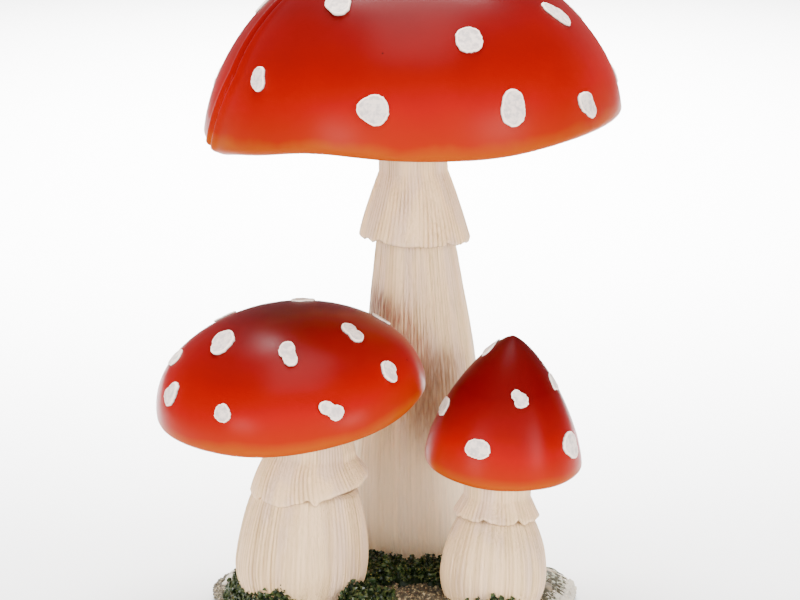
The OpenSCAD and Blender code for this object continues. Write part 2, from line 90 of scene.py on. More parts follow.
# Spots: bearing and share down, then either eight radii of the outline in mm, all the way round
# from the side of rising bearings, or width and length as shares of the common spot and the turn
SPOTS = {
    "tall": (
        (240, 0.428, (6, 8.5, 7, 6, 7, 6.5, 6, 6)), (290, 0.598, (6, 6.5, 6.5, 7, 6, 6, 6, 6.5)),
        (219, 0.747, (4.5, 6.5, 5, 4.5, 5, 6, 5.5, 4)),
        (260, 0.829, (6.5, 7, 7, 6.5, 7.5, 6.5, 6.5, 6.5)),
        (298, 0.853, (5.5, 6.5, 8, 7.5, 6, 6, 8, 7)),
        (325, 0.905, (5, 7.5, 5.5, 4.5, 6, 7, 5.5, 5.5)),
        (336, 0.57, 1.3, 0.82, 54), (172, 0.51, 1, 0.9, 0), (166, 0.84, 0.9, 0.75, 0),
        (8, 0.9, 0.85, 0.75, 20), (20, 0.66, 1.1, 0.9, 30), (46, 0.88, 0.9, 1, 0),
        (70, 0.55, 1.2, 1, -20), (96, 0.8, 1, 0.85, 10), (126, 0.62, 1.15, 0.9, 40),
        (146, 0.87, 0.95, 1.1, 0), (165, 0.3, 1.1, 0.95, -30), (30, 0.34, 1, 0.9, 0),
        (105, 0.28, 0.95, 1.1, 25), (310, 0.22, 1.05, 0.9, 0), (210, 0.13, 1, 0.85, 15)),
    "left": (
        (211, 0.33, (6, 8, 6.5, 5, 7, 8.5, 6, 5.5)), (275, 0.374, (3, 5, 7.5, 4, 4, 5, 7, 4.5)),
        (333, 0.387, (3, 3.5, 5.5, 6.5, 3.5, 3.5, 5.5, 6.5)),
        (327, 0.699, (4.5, 3, 5, 5, 4.5, 4, 5, 5)),
        (203, 0.739, (6, 6, 4, 3.5, 4, 3.5, 5.5, 6)), (241, 0.747, (4, 4.5, 4, 4, 4, 4, 4, 3.5)),
        (290, 0.786, (5, 5, 4.5, 3, 4.5, 6, 4, 3)),
        (68, 0.26, 1, 0.8, 0), (25, 0.58, 1.1, 0.8, 0),
        (135, 0.42, 0.9, 0.8, 0), (178, 0.6, 1, 0.8, 0), (58, 0.78, 1.1, 0.85, 20),
        (92, 0.56, 1, 0.9, 0), (118, 0.82, 0.95, 0.8, -15), (152, 0.78, 1, 0.75, 10)),
    "right": (
        (282, 0.495, (3.5, 4, 4, 3.5, 3, 5, 3.5, 3)), (247, 0.747, (5.5, 5, 4.5, 5, 6, 5, 4, 5)),
        (335, 0.755, (4.5, 5.5, 7.5, 6, 7, 6, 5, 5)),
        (186, 0.635, 1, 1.15, 90), (164, 0.25, 1.2, 0.9, 0), (351, 0.46, 0.8, 0.8, 90),
        (22, 0.82, 1, 0.85, 0), (62, 0.56, 1.05, 0.85, 60), (98, 0.8, 1.1, 0.9, 0),
        (128, 0.55, 0.9, 0.8, 30), (150, 0.84, 1, 0.8, 0)),
}
# Red overspray mixed with painted shade and painted red bounce light on the front of the tall stem,
# under the small caps: place to the right and height in mm, reach across and up, how even it is
# rather than streaky, depth and colour
STEM_SHADE_AND_OVERSPRAY = (
    (-7, 128, 9, 13, 0.1, 1.0, (0.22, 0.09, 0.055)), (2, 119, 12, 16, 0.2, 0.8, (0.45, 0.16, 0.1)),
    (10, 106, 10, 18, 0.4, 0.75, (0.4, 0.14, 0.09)),
    (21, 102, 15, 16, 0.45, 0.8, (0.24, 0.11, 0.045)),
    (14, 82, 15, 26, 0.7, 0.85, (0.22, 0.09, 0.045)),
)
# Pinholes in the lacquer of the caps, painted as dark dots of shade since the pits are not cut:
# bearing and share down
PINHOLES = {"tall": ((262, 0.627),), "left": ((10, 0.19), (23, 0.27), (346, 0.73)), "right": ()}
# Swellings of the stems: bearing, height above the seat and reach up and down in mm, and how far
SWELLS = {
    "tall": ((180, 56, 26, 3.6), (0, 100, 35, 2)),
    "left": ((180, 9, 20, 1.7), (270, 20, 20, 0.4)),
    "right": ((180, 8, 14, 0.8), (0, 9, 14, 0.5)),
}
# Pebbles: bearing, share of the way out, size as a share of the common pebble
PEBBLES = ((270, 0.86, 1), (281, 0.78, 0.7), (290, 0.88, 0.85), (262, 0.93, 0.6), (352, 0.86, 1),
           (4, 0.8, 0.75), (14, 0.88, 0.9), (22, 0.7, 0.7), (172, 0.9, 0.9), (182, 0.82, 1),
           (161, 0.93, 0.65), (118, 0.93, 0.7))
# Moss clumps: bearing, share of the way out, width along the edge and length across it as shares
# of the base that way, height as a share of the common moss
CLUMPS = {
    "moss_centre": (272, 0.22, 0.34, 0.32, 1.1),
    "moss_left": (215, 0.86, 0.38, 0.17, 1.3),
    "moss_front": (258, 0.68, 0.16, 0.13, 1),
    "moss_right": (311, 0.85, 0.24, 0.13, 1),
    "moss_back": (76, 0.73, 0.45, 0.145, 1.2),
    "moss_side": (146, 0.7, 0.29, 0.19, 1.1),
}
# Hollows in the clumps: place to the right and to the back in mm, reach in mm, share of the height
DIPS = {
    "moss_centre": ((9, 0, 12, 1.15), (16, -43, 13, 1.6), (0, -46, 12, 1.4)),
    "moss_back": ((-30, 62, 10, 0.4), (20, 60, 12, 0.3)),
}
# Humps of the clumps: place to the right and to the back, reach and height in mm
HUMPS = {
    "moss_left": ((-66, -33, 5.5, 8.5), (-60, -46, 6, 10.5), (-53, -54, 5, 9), (-47, -58, 4, 8)),
    "moss_right": ((43, -62, 6, 4), (52, -58, 5, 4.5), (60, -51, 5, 4)),
    "moss_front": ((-20, -52, 5, 2.5),),
}
# The stretch of grass at the right end: bearings from and to, shares of the way out from and to
LAWN = ((-34, 48), (0.6, 0.88))
# Small stones along the left end of the base: bearing, share of the way out, size as of a pebble
STONES = ((156, 0.84, 0.5), (163, 0.86, 0.45), (169, 0.9, 0.5), (175, 0.93, 0.5), (180, 0.86, 0.55),
          (184, 0.93, 0.6), (188, 0.87, 0.5), (192, 0.93, 0.6), (197, 0.88, 0.5), (200, 0.93, 0.5))
# Shares down from the crown of each cap where each of its paints is pure
CAP_PAINTS = ("crown", "shade", "flank", "low", "hem", "edge")
SHADES = {
    "tall": (0.1, 0.48, 0.67, 0.84, 0.955, 0.995),
    "left": (0.04, 0.24, 0.56, 0.78, 0.93, 0.99),
    "right": (0.16, 0.5, 0.66, 0.78, 0.9, 0.975),
}
# Profiles of raised pads, from the sunk foot to the top: share of the outline, lift as a share
# of the height, and how near the edge it counts for the paint
CHIP = ((0.6, -0.35, 1), (1, -0.35, 1), (1, 0, 1), (1, 0.4, 0.9), (0.985, 0.72, 0.6),
        (0.955, 0.95, 0.35), (0.9, 1.02, 0.2), (0.84, 0.97, 0.05), (0.7, 0.93, 0), (0.5, 0.92, 0),
        (0.26, 0.93, 0))
STONE = ((0.6, -0.35, 1), (1, -0.35, 1), (1.02, 0, 1), (1, 0.28, 1), (0.93, 0.55, 1),
         (0.82, 0.76, 1), (0.66, 0.9, 1), (0.45, 0.98, 1), (0.22, 1, 1))
# The mesh of each cap: sides, and steps down its outside
CAP_MESH = {"tall": (400, 110), "left": (300, 76), "right": (220, 76)}
# How far the moss clumps are sunk into the soil, and the share of the way out where moss ends
MOSS_SUNK = 0.8 * MM
MOSS_END = 0.985
# Least distances between grains of grit, leaves of moss and blades of grass
GRIT_GAP, LEAF_GAP, GRASS_GAP = 1.7 * MM, 1.0 * MM, 1.7 * MM
# Share of the base that its underside has, inside the bevel of its edge
UNDERSIDE = 0.992
# Half the side of the floor, and the middle of the ornament, in metres
FLOOR = 10.0
MIDDLE = (0.0, 0.0, 0.134)
# Softboxes round that middle: bearing, elevation, distance and size in metres, spread, and the
# way it faces where that isn't the middle
LAMPS = {
    "front_left": (227, 7, 2.6, (1.15, 0.82), 60, None),
    "front_right": (317, 7, 2.6, (1.15, 0.82), 60, None),
    "front": (270, 15, 2.2, (2.6, 1.5), 180, None),
    "overhead": (270, 80, 1.6, (0.95, 1.3), 180, None),
    "backdrop": (90, 38, 2.05, (0.8, 2.6), 108, (0, 0.15, -1)),
}
# Camera: focal length and sensor in mm, degrees that it looks down, distance and aim in metres
LENS, SENSOR = 156.96, 36
LOOK_DOWN, DISTANCE, AIM = 10, 1.5, (0.0026, 0, 0.134)
# Radius in metres of the circle on which noise and waves are read round a stem or a clump
ROUND = 0.02

# Sizes of the toadstools that a user can change: field, title, description, and mm or degrees for
# the tall, the left and the right one
LENGTHS = (
    ("x", "Place to the right", "Place of the stem right of the middle", 12.482, -39.5, 41.712),
    ("y", "Place to the back", "Place of the stem behind the middle", 28, -34.03, -38.014),
    ("foot_r", "Foot radius", "Radius of the foot on its seat", 24, 22, 18.5),
    ("bulb_r", "Bulb radius", "Radius of the bulb", 30, 27.8, 22.2),
    ("bulb_z", "Bulb height", "Height of the widest place of the bulb", 26, 20, 15),
    ("shoulder_r", "Shoulder radius", "Radius below the skirt", 16.8, 22, 15.2),
    ("shoulder_z", "Shoulder height", "Height of the shoulder", 149, 51, 40),
    ("skirt_r", "Skirt top radius", "Radius of the top of the skirt", 15, 17.6, 14.2),
    ("lip_r", "Lip radius", "Radius of the lip of the skirt", 24.2, 25.2, 18.2),
    ("lip_drop", "Lip drop", "How far the lip hangs below the shoulder", 1.3, -1.3, 0),
    ("lip_droop", "Lip droop", "How much further the lip hangs in front", 0, 3.3, 0.6),
    ("flare_h", "Flare height", "Height of the flare of the skirt", 29.8, 12.7, 8.5),
    ("cap_r", "Cap radius", "Radius of the cap at the rim", 91, 57.4, 33.3),
    ("cap_h", "Cap height", "Height of the cap above its rim", 75, 37.5, 55),
    ("rim_z", "Rim height", "Height of the rim above the foot", 201, 90.5, 64),
    ("cap_x", "Cap offset right", "How far the cap is right of its stem", 0, -8, 1.8),
    ("cap_y", "Cap offset back", "How far the cap is behind its stem", 0, -5, 0),
    ("wall", "Cap wall", "Thickness of the wall of the cap", 5, 4, 4),
    ("spot_w", "Spot width", "Width of a common spot", 13, 11, 9),
)
ANGLES = (
    ("lean", "Lean", "Lean of the toadstool to the right", -1.3, 2.8, 2.3),
    ("lip_tilt", "Lip tilt", "Tilt of the lip up to the right", -3.6, 11, -1),
    ("pitch", "Cap pitch", "Tilt of the cap down to the front", 4, 10.4, 8.5),
    ("roll", "Cap roll", "Tilt of the cap up to the right", 1.8, 9, -1.5),
)
TAPERS = (1.25, 2, 2)
GILLS = (96, 80, 64)


def number(name, value, description, **more):
    return FloatProperty(name=name, description=description, default=value, **more)


def length(name, mm, description):
    return number(name, mm * MM, description, unit="LENGTH")


def angle(name, degrees, description):
    return number(name, math.radians(degrees), description, subtype="ANGLE", unit="ROTATION")


def colour(name, rgb, description):
    return FloatVectorProperty(name=name, description=description, default=rgb, size=3,
                               subtype="COLOR", min=0, max=1)


def toadstool_group(i, who):
    """The property group of one toadstool, with its own defaults."""
    fields = {key: length(title, sizes[i], text) for key, title, text, *sizes in LENGTHS}
    fields.update({key: angle(title, turns[i], text) for key, title, text, *turns in ANGLES})
    fields["taper"] = number("Taper", TAPERS[i], "How late the stem narrows", min=1, max=4)
    fields["gills"] = IntProperty(name="Gills", description="Number of gills under the cap",
                                  default=GILLS[i], min=12, max=160)
    return type("ORNAMENT_PG_" + who, (PropertyGroup,),
                {"__doc__": f"Sizes of the {who} toadstool.", "__annotations__": fields})


TallToadstool, LeftToadstool, RightToadstool = (toadstool_group(*pair) for pair in enumerate(WHO))


class BaseSizes(PropertyGroup):
    """Sizes of the base and of the casting details."""
    base_w: length("Base width", 158, "Width of the base, side to side")
    base_d: length("Base depth", 166, "Depth of the base, front to back")
    soil_h: length("Soil height", 17, "Height of the soil at the middle of the base")
    edge_h: length("Edge height", 2.5, "Height of the upright edge of the base")
    soil_lump: length("Soil lumps", 0.8, "Height of the lumps in the soil")
    felt_t: length("Felt", 1.5, "Thickness of the felt under the base")
    seat_z: length("Seat height", 9, "Height of the stem seats above the ground")
    moss_h: length("Moss height", 6, "Height of the moss over the soil")
    pebble_w: length("Pebble width", 8, "Width of a pebble")
    spot_h: length("Spot height", 1.4, "Height of a spot above the cap")
    hem_h: length("Hem", 2, "Height of the hem where the rim of a cap turns under")
    gill_h: length("Gill depth", 3, "Depth of the gills")
    gill_plate_t: length("Gill plate", 3, "Thickness of a gill plate over its gills")
    groove: length("Groove depth", 0.42, "Depth of the grooves in the stems")
    rib: length("Rib pitch", 1.7, "Distance between the ribs of the stems and skirts")
    grit: length("Grit size", 1.1, "Size of the grains on the soil")
    leaf: length("Moss leaf", 2.3, "Length of a leaf of the moss")
    blade: length("Grass blade", 6, "Length of a blade of grass")


class Paints(PropertyGroup):
    """Colours of the paints, in linear light."""
    crown: colour("Crown", (0.068, 0.003, 0.0034), "Maroon of the top of a cap")
    shade: colour("Shade", (0.1, 0.001, 0.0015), "Dark red of the upper flank")
    flank: colour("Flank", (0.17, 0.0003, 0.0003), "Red of the flank of a cap")
    low: colour("Lower flank", (0.27, 0.0004, 0.0), "Orange red above the rim of a cap")
    hem: colour("Hem", (0.275, 0.01, 0.0), "Orange of the hem of a cap")
    edge: colour("Edge", (0.3, 0.044, 0.0), "Yellow orange of the very edge of a cap")
    spot: colour("Spots", (0.82, 0.68, 0.6), "Off-white of the raised spots")
    spot_low: colour("Spot dimples", (0.5, 0.42, 0.4), "Grey of the dimples of the spots")
    stem: colour("Stems", (0.88, 0.6, 0.34), "Cream of the stems")
    wash: colour("Wash", (0.34, 0.2, 0.07), "Ochre wash in the grooves of the stems")
    lilac: colour("Lilac", (0.68, 0.48, 0.4), "Lilac grey streaks of the stems")
    moss: colour("Moss", (0.022, 0.038, 0.008), "Green of the moss")
    soil: colour("Soil", (0.075, 0.055, 0.028), "Brown of the soil")
    grass: colour("Grass", (0.36, 0.37, 0.27), "Grey green of the grass")
    pebble: colour("Pebbles", (0.2, 0.15, 0.09), "Colour of the pebbles")
    gill: colour("Gills", (0.7, 0.5, 0.27), "Cream of the gills")
    felt: colour("Felt", (0.012, 0.017, 0.01), "Dark green of the felt")


class Lights(PropertyGroup):
    """Brightness of the lamps and of the room."""
    front_left: number("Front left", 31, "Softbox at the front left")
    front_right: number("Front right", 31, "Softbox at the front right")
    front: number("Front", 2.7, "Wide soft fill behind the camera")
    overhead: number("Overhead", 10, "Large softbox overhead")
    backdrop: number("Backdrop", 110, "Lamp on the floor behind")
    ambient: number("Ambient", 0.35, "Light of the pale room")


def toadstool(who):
    """Sizes of one toadstool."""
    return getattr(bpy.context.scene, "ornament_" + who)


def base():
    """Sizes of the base and of the casting details."""
    return bpy.context.scene.ornament_base


def paint(shade):
    """A paint by its name, or a plain colour, with alpha."""
    if isinstance(shade, str):
        shade = getattr(bpy.context.scene.ornament_paints, shade)
    return (*shade, 1.0)


class Socket:
    """An output socket. Arithmetic on it adds Math nodes to its tree."""

    def __init__(self, nodes, socket):
        self.nodes, self.socket = nodes, socket

    def math(self, operation, *values):
        return self.nodes.math(operation, self, *values)

    def __add__(self, other):
        return self.math("ADD", other)

    __radd__ = __add__

    def __sub__(self, other):
        return self.math("SUBTRACT", other)

    def __rsub__(self, other):
        return self.nodes.math("SUBTRACT", other, self)

    def __mul__(self, other):
        return self.math("MULTIPLY", other)

    __rmul__ = __mul__

    def __truediv__(self, other):
        return self.math("DIVIDE", other)

    def __pow__(self, other):
        return self.math("POWER", other)

    def __neg__(self):
        return self.math("MULTIPLY", -1)

    def up_to(self, most):
        return self.math("MINIMUM", most)

    def at_least(self, least):
        return self.math("MAXIMUM", least)

    def between(self, low, high):
        """0 below low, 1 above high, smooth between them."""
        return self.nodes.node("ShaderNodeMapRange", {"interpolation_type": "SMOOTHSTEP"},
                               {0: self, 1: low, 2: high})

    def line(self, middle, steepness):
        """1 where a field is at middle, falling to 0 at both sides: a thin line."""
        return 1 - ((self - middle).math("ABSOLUTE") * steepness).up_to(1.0)


class Nodes:
    """Adds nodes to one tree."""

    def __init__(self, tree):
        self.tree = tree

    def node(self, kind, settings=None, values=None, output=0):
        """Adds a node, with its settings first and then the values or links of its sockets."""
        made = self.tree.nodes.new(kind)
        for key, value in (settings or {}).items():
            if key == "stops":
                self.stops(made.color_ramp, value)
            else:
                setattr(made, key, value)
        for key, value in (values or {}).items():
            if isinstance(value, Socket):
                self.tree.links.new(value.socket, made.inputs[key])
            else:
                made.inputs[key].default_value = value
        return Socket(self, made.outputs[output])

    @staticmethod
    def stops(ramp, stops):
        while len(ramp.elements) < len(stops):
            ramp.elements.new(0.5)
        for element, (place, shade) in zip(ramp.elements, stops):
            element.position, element.color = place, shade

    def math(self, operation, *values):
        return self.node("ShaderNodeMath", {"operation": operation}, dict(enumerate(values)))

    def noise(self, vector, size, detail=2, roughness=0.5, seed=0.0):
        """Noise from 0 to 1 whose lumps measure about size."""
        return self.node("ShaderNodeTexNoise", {"noise_dimensions": "4D"},
                         {"Vector": vector, "W": seed, "Scale": 1 / size, "Detail": detail,
                          "Roughness": roughness})

    def combine(self, x, y, z):
        return self.node("ShaderNodeCombineXYZ", None, {0: x, 1: y, 2: z})

    def part(self, vector, axis):
        return self.node("ShaderNodeSeparateXYZ", None, {0: vector}, axis)


class Finish(Nodes):
    """A finish: layers of paint on a ground, on one Principled shader."""

    def __init__(self, name, ground, **constants):
        self.material = bpy.data.materials.new(name)
        self.material.use_nodes = True
        super().__init__(self.material.node_tree)
        self.shader = self.tree.nodes["Principled BSDF"]
        for key, value in constants.items():
            socket = key.replace("_", " ").title().replace("Ior", "IOR")
            self.shader.inputs[socket].default_value = value
        self.place = self.node("ShaderNodeTexCoord", output="Object")
        self.shade = paint(ground)

    def attribute(self, name):
        return self.node("ShaderNodeAttribute", {"attribute_name": name}, output="Fac")

    def set(self, name, value):
        self.tree.links.new(value.socket, self.shader.inputs[name])

    def layer(self, amount, shade):
        """Lays a paint, by its name or as a colour, over what is there."""
        self.shade = self.node("ShaderNodeMix", {"data_type": "RGBA"},
                               {0: amount, 6: self.shade, 7: paint(shade)}, 2)
        self.set("Base Color", self.shade)

    def mottle(self, mm, detail=2, roughness=0.5, seed=0.0, up=1.0):
        """Noise from 0 to 1 with lumps of some mm, drawn out upwards where up is small."""
        place = self.place
        if up != 1:
            place = self.node("ShaderNodeMapping", None, {"Vector": place, "Scale": (1, 1, up)})
        return self.noise(place, mm * MM, detail, roughness, seed)

    def cells(self, mm):
        """Distance to the nearest of cells that measure about some mm."""
        return self.node("ShaderNodeTexVoronoi", None,
                         {"Vector": self.place, "Scale": 1 / (mm * MM)}, "Distance")

    def bump(self, height, mm, strength):
        """Bumps of a height from 0 to 1 that stand some mm proud."""
        self.set("Normal", self.node("ShaderNodeBump", None, {
            "Height": height, "Distance": mm * MM, "Strength": strength}))


def in_scene(name, data):
    """An object with its data, in the scene."""
    made = bpy.data.objects.new(name, data)
    bpy.context.scene.collection.objects.link(made)
    return made


def mesh_object(name, points, faces, material=None, smooth=True, marks=None):
    """A mesh object at the origin, with point attributes from marks."""
    mesh = bpy.data.meshes.new(name)
    mesh.from_pydata([tuple(p) for p in points], [], [tuple(int(i) for i in f) for f in faces])
    mesh.polygons.foreach_set("use_smooth", [smooth] * len(mesh.polygons))
    for key, values in (marks or {}).items():
        mesh.attributes.new(key, "FLOAT", "POINT").data.foreach_set(
            "value", np.asarray(values, np.float32))
    if material:
        mesh.materials.append(material)
    mesh.update()
    return in_scene(name, mesh)


def band(low, high, sides):
    """Faces between two rings of points, whose first points have the numbers low and high."""
    i = np.arange(sides)
    j = (i + 1) % sides
    return np.column_stack([low + i, low + j, high + j, high + i]).tolist()


def closed_skin(bottom, rings, top):
    """Points and faces of a closed skin: a bottom point, rings upwards, a top point."""
    sides = len(rings[0])
    starts = 1 + sides * np.arange(len(rings) + 1)
    i = np.arange(sides)
    j = (i + 1) % sides
    faces = np.column_stack([i * 0, 1 + j, 1 + i]).tolist()
    for low, high in zip(starts, starts[1:-1]):
        faces += band(low, high, sides)
    faces += np.column_stack([i * 0 + starts[-1], starts[-2] + i, starts[-2] + j]).tolist()
    return np.vstack([[bottom], *rings, [top]]), faces


def closed_tube(rings):
    """Points and faces of a tube whose last ring meets its first."""
    n, sides = len(rings), len(rings[0])
    faces = [face for k in range(n) for face in band(k * sides, (k + 1) % n * sides, sides)]
    return np.vstack(rings), faces


def finish_piece(piece, slot, *nodes):
    """Rides a finished piece on the ornament, in the place of its CAD nodes."""
    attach(piece, BODY)
    if nodes:
        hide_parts(*nodes)


def waves(points, size, seed):
    """A smooth random field from about -1 to 1 whose swells measure about size."""
    count, random = 28, np.random.default_rng(seed)
    way = random.normal(size=(count, 3))
    way *= (random.uniform(0.7, 1.4, (count, 1)) * math.pi / size
            / np.linalg.norm(way, axis=1, keepdims=True))
    phase = random.uniform(0, 2 * math.pi, count)
    return np.sin(points @ way.T + phase).sum(1) / math.sqrt(count / 2) * 0.6


def sind(a):
    return np.sin(np.radians(a))


def cosd(a):
    return np.cos(np.radians(a))


def bearings(sides):
    return 360 * np.arange(sides) / sides


def bearing_of(points):
    return np.degrees(np.arctan2(points[:, 1], points[:, 0]))


def bearing_gap(a, b):
    """Degrees from bearing b to bearing a, the short way round."""
    return (a - b + 540) % 360 - 180


def swell(a, b, spread):
    """1 at bearing b, falling to 0 beyond a spread in degrees."""
    return np.exp(-(bearing_gap(a, b) / spread) ** 2)


def around(a, r, z=0.0):
    """Points at bearings a, at radius r and height z."""
    return np.stack([r * cosd(a), r * sind(a), np.broadcast_to(z, np.shape(a))], -1)


def planted(m):
    """From a toadstool's own frame to the frame of the part."""
    return Matrix.Translation((m.x, m.y, base().seat_z)) @ Matrix.Rotation(m.lean, 4, "Y")


def on_rim(m):
    """From a cap's frame to the frame of the part."""
    return (planted(m) @ Matrix.Translation((m.cap_x, m.cap_y, m.rim_z))
            @ Matrix.Rotation(-m.roll, 4, "Y") @ Matrix.Rotation(m.pitch, 4, "X"))


def moved(points, matrix):
    turn = np.array(matrix)
    return points @ turn[:3, :3].T + turn[:3, 3]


def cap_relief(m, who, a, t):
    """Height of the hand-worked relief of a cap, in metres."""
    relief = np.zeros(np.broadcast(a, t).shape)
    for bearing, share, spread, height in DENTS[who]:
        reach = np.hypot(np.radians(bearing_gap(a, bearing)) * share, t - share)
        relief += height * MM * np.exp(-(reach / spread) ** 2)
    if who in FOLDS:
        line, depth = FOLDS[who]
        shares, line_bearings = zip(*line)
        gap = np.radians(bearing_gap(a, np.interp(t, shares, line_bearings)))
        off = gap * np.sin(np.pi / 2 * t) * m.cap_r
        deep = depth * MM * np.clip((t - 0.3) / 0.35, 0, 1)
        crease, welt, welt_off = 1.5 * MM, 3 * MM, 4 * MM
        relief -= deep * np.exp(-(off / crease) ** 2)
        for side in (-welt_off, welt_off):
            relief += deep * 0.5 * np.exp(-((off + side) / welt) ** 2)
    return relief


def rim_rise(m, who, a):
    """How far the rim of a cap stands above its level at bearings a."""
    bearing, spread, depth = FORM[who][1]
    rise = -m.cap_h * depth * swell(a, bearing, spread)
    for bearing, spread, height in LIFTS[who]:
        rise = rise + height * MM * swell(a, bearing, spread)
    return rise


def cap_skin(m, who, a, t, off=0.0):
    """Points on a cap in its own frame: bearings a in degrees, shares t down from the crown."""
    a, t = np.broadcast_arrays(np.asarray(a, float), np.asarray(t, float))
    form, _, (bearing, spread, depth) = FORM[who]
    p = 90 * t
    (slow, low), (fast, high) = RIM_WAVES
    wave = 1 + t * (low * sind(slow * a) + high * cosd(fast * a))
    flat = 1 - depth * swell(a, bearing, spread) * sind(2 * p)
    off = off + cap_relief(m, who, a, t)
    r = (m.cap_r + off) * np.clip(sind(p), 0, 1) ** form * wave * flat
    z = (m.cap_h + off) * np.clip(cosd(p), 0, 1) ** form + rim_rise(m, who, a) * t ** 5
    return around(a, r, z)


def on_skin(skin, a, s, most):
    """A map from flat places near bearing a and share s to the skin."""
    step = 0.01
    out = np.linalg.norm(skin(a, s + step, 0) - skin(a, s - step, 0)) / (2 * step)
    at = skin(a, s, 0)
    round_r = math.hypot(at[0], at[1]) / s

    def place(x, y, off):
        qx, qy = s + np.asarray(y) / out, np.asarray(x) / round_r
        return skin(a + np.degrees(np.arctan2(qy, qx)), np.minimum(most, np.hypot(qx, qy)), off)
    return place


def oval(b, k):
    """Radii of an uneven round outline, number k, at bearings b."""
    return 1 + 0.12 * sind(2 * b + 90 * k) + 0.08 * sind(3 * b + 45 * k)


def round_outline(w, l, lie, seed, sides):
    """Places round an uneven oval, flat."""
    rough, random = 0.1, np.random.default_rng(seed + 11)
    b = bearings(sides)
    edge = oval(b, seed)
    for count in (4, 5, 7, 10, 13):
        edge += rough * 1.2 / count * sind(count * b + 360 * random.random())
    for _ in range(3):
        edge -= rough * random.uniform(0.2, 0.7) * swell(b, random.uniform(0, 360), 8)
    x, y = w / 2 * cosd(b) * edge, l / 2 * sind(b) * edge
    return np.stack([x * cosd(lie) - y * sind(lie), x * sind(lie) + y * cosd(lie)], -1)


def cut_outline(radii, seed, sides):
    """Places round an outline given by its radii in mm, flat, with a slightly ragged edge."""
    n = len(radii)
    swings = np.fft.rfft(radii) / n
    b = bearings(sides)
    k = np.arange(len(swings))
    weight = np.where((k == 0) | (k == n // 2), 1, 2)
    r = (weight * (swings * np.exp(1j * np.outer(np.radians(b), k))).real).sum(1) * MM
    ragged = waves(around(b, 6 * MM), 0.9 * MM, seed + 400) * 0.16 * MM
    return around(b, r - 0.25 * MM + ragged)[:, :2]


def pad(place, outline, h, seed, profile):
    """Points, faces and edge marks of a raised pad with a flat outline laid on a skin."""
    sides = len(outline)
    rings, marks = [], []
    for share, lift, mark in profile:
        x, y = outline.T * share
        flat = np.stack([x, y, np.zeros(sides)], -1)
        mottle = waves(flat, h * 1.2, seed) * 0.07 + waves(flat, h * 3.5, seed + 1) * 0.07
        rings.append(place(x, y, h * (lift + mottle * (0.3 < lift))))
        marks.append(np.full(sides, float(mark)))
    foot, top = profile[0][1] * h, profile[-1][1] * h
    points, faces = closed_skin(place(0.0, 0.0, foot), rings, place(0.0, 0.0, top))
    return points, flipped(faces), np.concatenate([[1.0], *marks, [float(profile[-1][2])]])


def flipped(faces):
    """Faces turned over, as laying a shape on a skin mirrors it."""
    return [face[::-1] for face in faces]


def joined(parts):
    """Points, faces and marks of several closed meshes as one."""
    faces, first = [], 0
    for points, part_faces, _ in parts:
        faces += [[i + first for i in face] for face in part_faces]
        first += len(points)
    return np.vstack([p for p, _, _ in parts]), faces, np.concatenate([k for _, _, k in parts])


def edge_radius(a):
    """Radius of the base at a bearing."""
    w, d = base().base_w / 2, base().base_d / 2
    return (w * d / np.hypot(d * cosd(a), w * sind(a))
            * (1 + 0.014 * sind(3 * a + 20) + 0.01 * sind(5 * a - 10) + 0.006 * sind(9 * a)))


def soil_skin(a, s, off=0.0):
    """Points on the soil: bearings a, shares s of the way out."""
    a, s = np.broadcast_arrays(np.asarray(a, float), np.asarray(s, float))
    b = base()
    edge = b.felt_t + b.edge_h
    lump = b.soil_lump * sind(4 * a + 360 * s) * cosd(3 * a - 360 * s) * (1 - s ** 8) * s
    return around(a, edge_radius(a) * s, edge + (b.soil_h - edge) * (1 - s ** 3) + lump + off)


def cap_paint(who):
    """Airbrushed maroon to orange under satin lacquer, from the marks of the cap."""
    f = Finish(who + "_cap_paint", "crown", specular_ior_level=0.045)
    down = (f.attribute("down") + (f.mottle(30, 1, seed=WHO.index(who)) - 0.5) * 0.09
            + (f.mottle(9, seed=4.0) - 0.5) * 0.03)
    stops = [(share, paint(name)) for share, name in zip(SHADES[who], CAP_PAINTS)]
    f.shade = f.node("ShaderNodeValToRGB", {"stops": stops}, {"Fac": down})
    f.set("Base Color", f.shade)
    m = toadstool(who)
    for bearing, share in PINHOLES[who]:
        hole = tuple(moved(cap_skin(m, who, bearing, share), on_rim(m)))
        gap = f.node("ShaderNodeVectorMath", {"operation": "DISTANCE"}, {0: f.place, 1: hole}, 1)
        # Painted shade: a dark dot stands in for the shade inside each pit
        f.layer((1 - gap.between(0.25 * MM, 0.55 * MM)) * 0.85, (0.012, 0.002, 0.001))
    f.set("Roughness", 0.28 + f.mottle(18, seed=7.0) * 0.06)
    f.bump(f.mottle(9, 1), 0.2, 0.2)
    return f.material


def spot_paint():
    """Chalky off-white, brighter at the worn edge, grey in its dimples, dark at its foot."""
    f = Finish("spot_paint", "spot", roughness=0.6, specular_ior_level=0.25)
    rim = f.attribute("edge")
    f.layer(f.mottle(2.4, 3, 0.6).between(0.4, 0.62) * 0.85, "spot_low")
    f.layer(rim.between(0.04, 0.2) * (1 - rim.between(0.6, 0.85)), (1.0, 0.82, 0.7))
    # Painted shade at the foot of the spot, where it meets the cap
    f.layer(rim.between(0.86, 1.0) * 0.9, (0.06, 0.006, 0.004))
    f.bump(f.mottle(1.3, 4, 0.65), 0.35, 0.6)
    return f.material


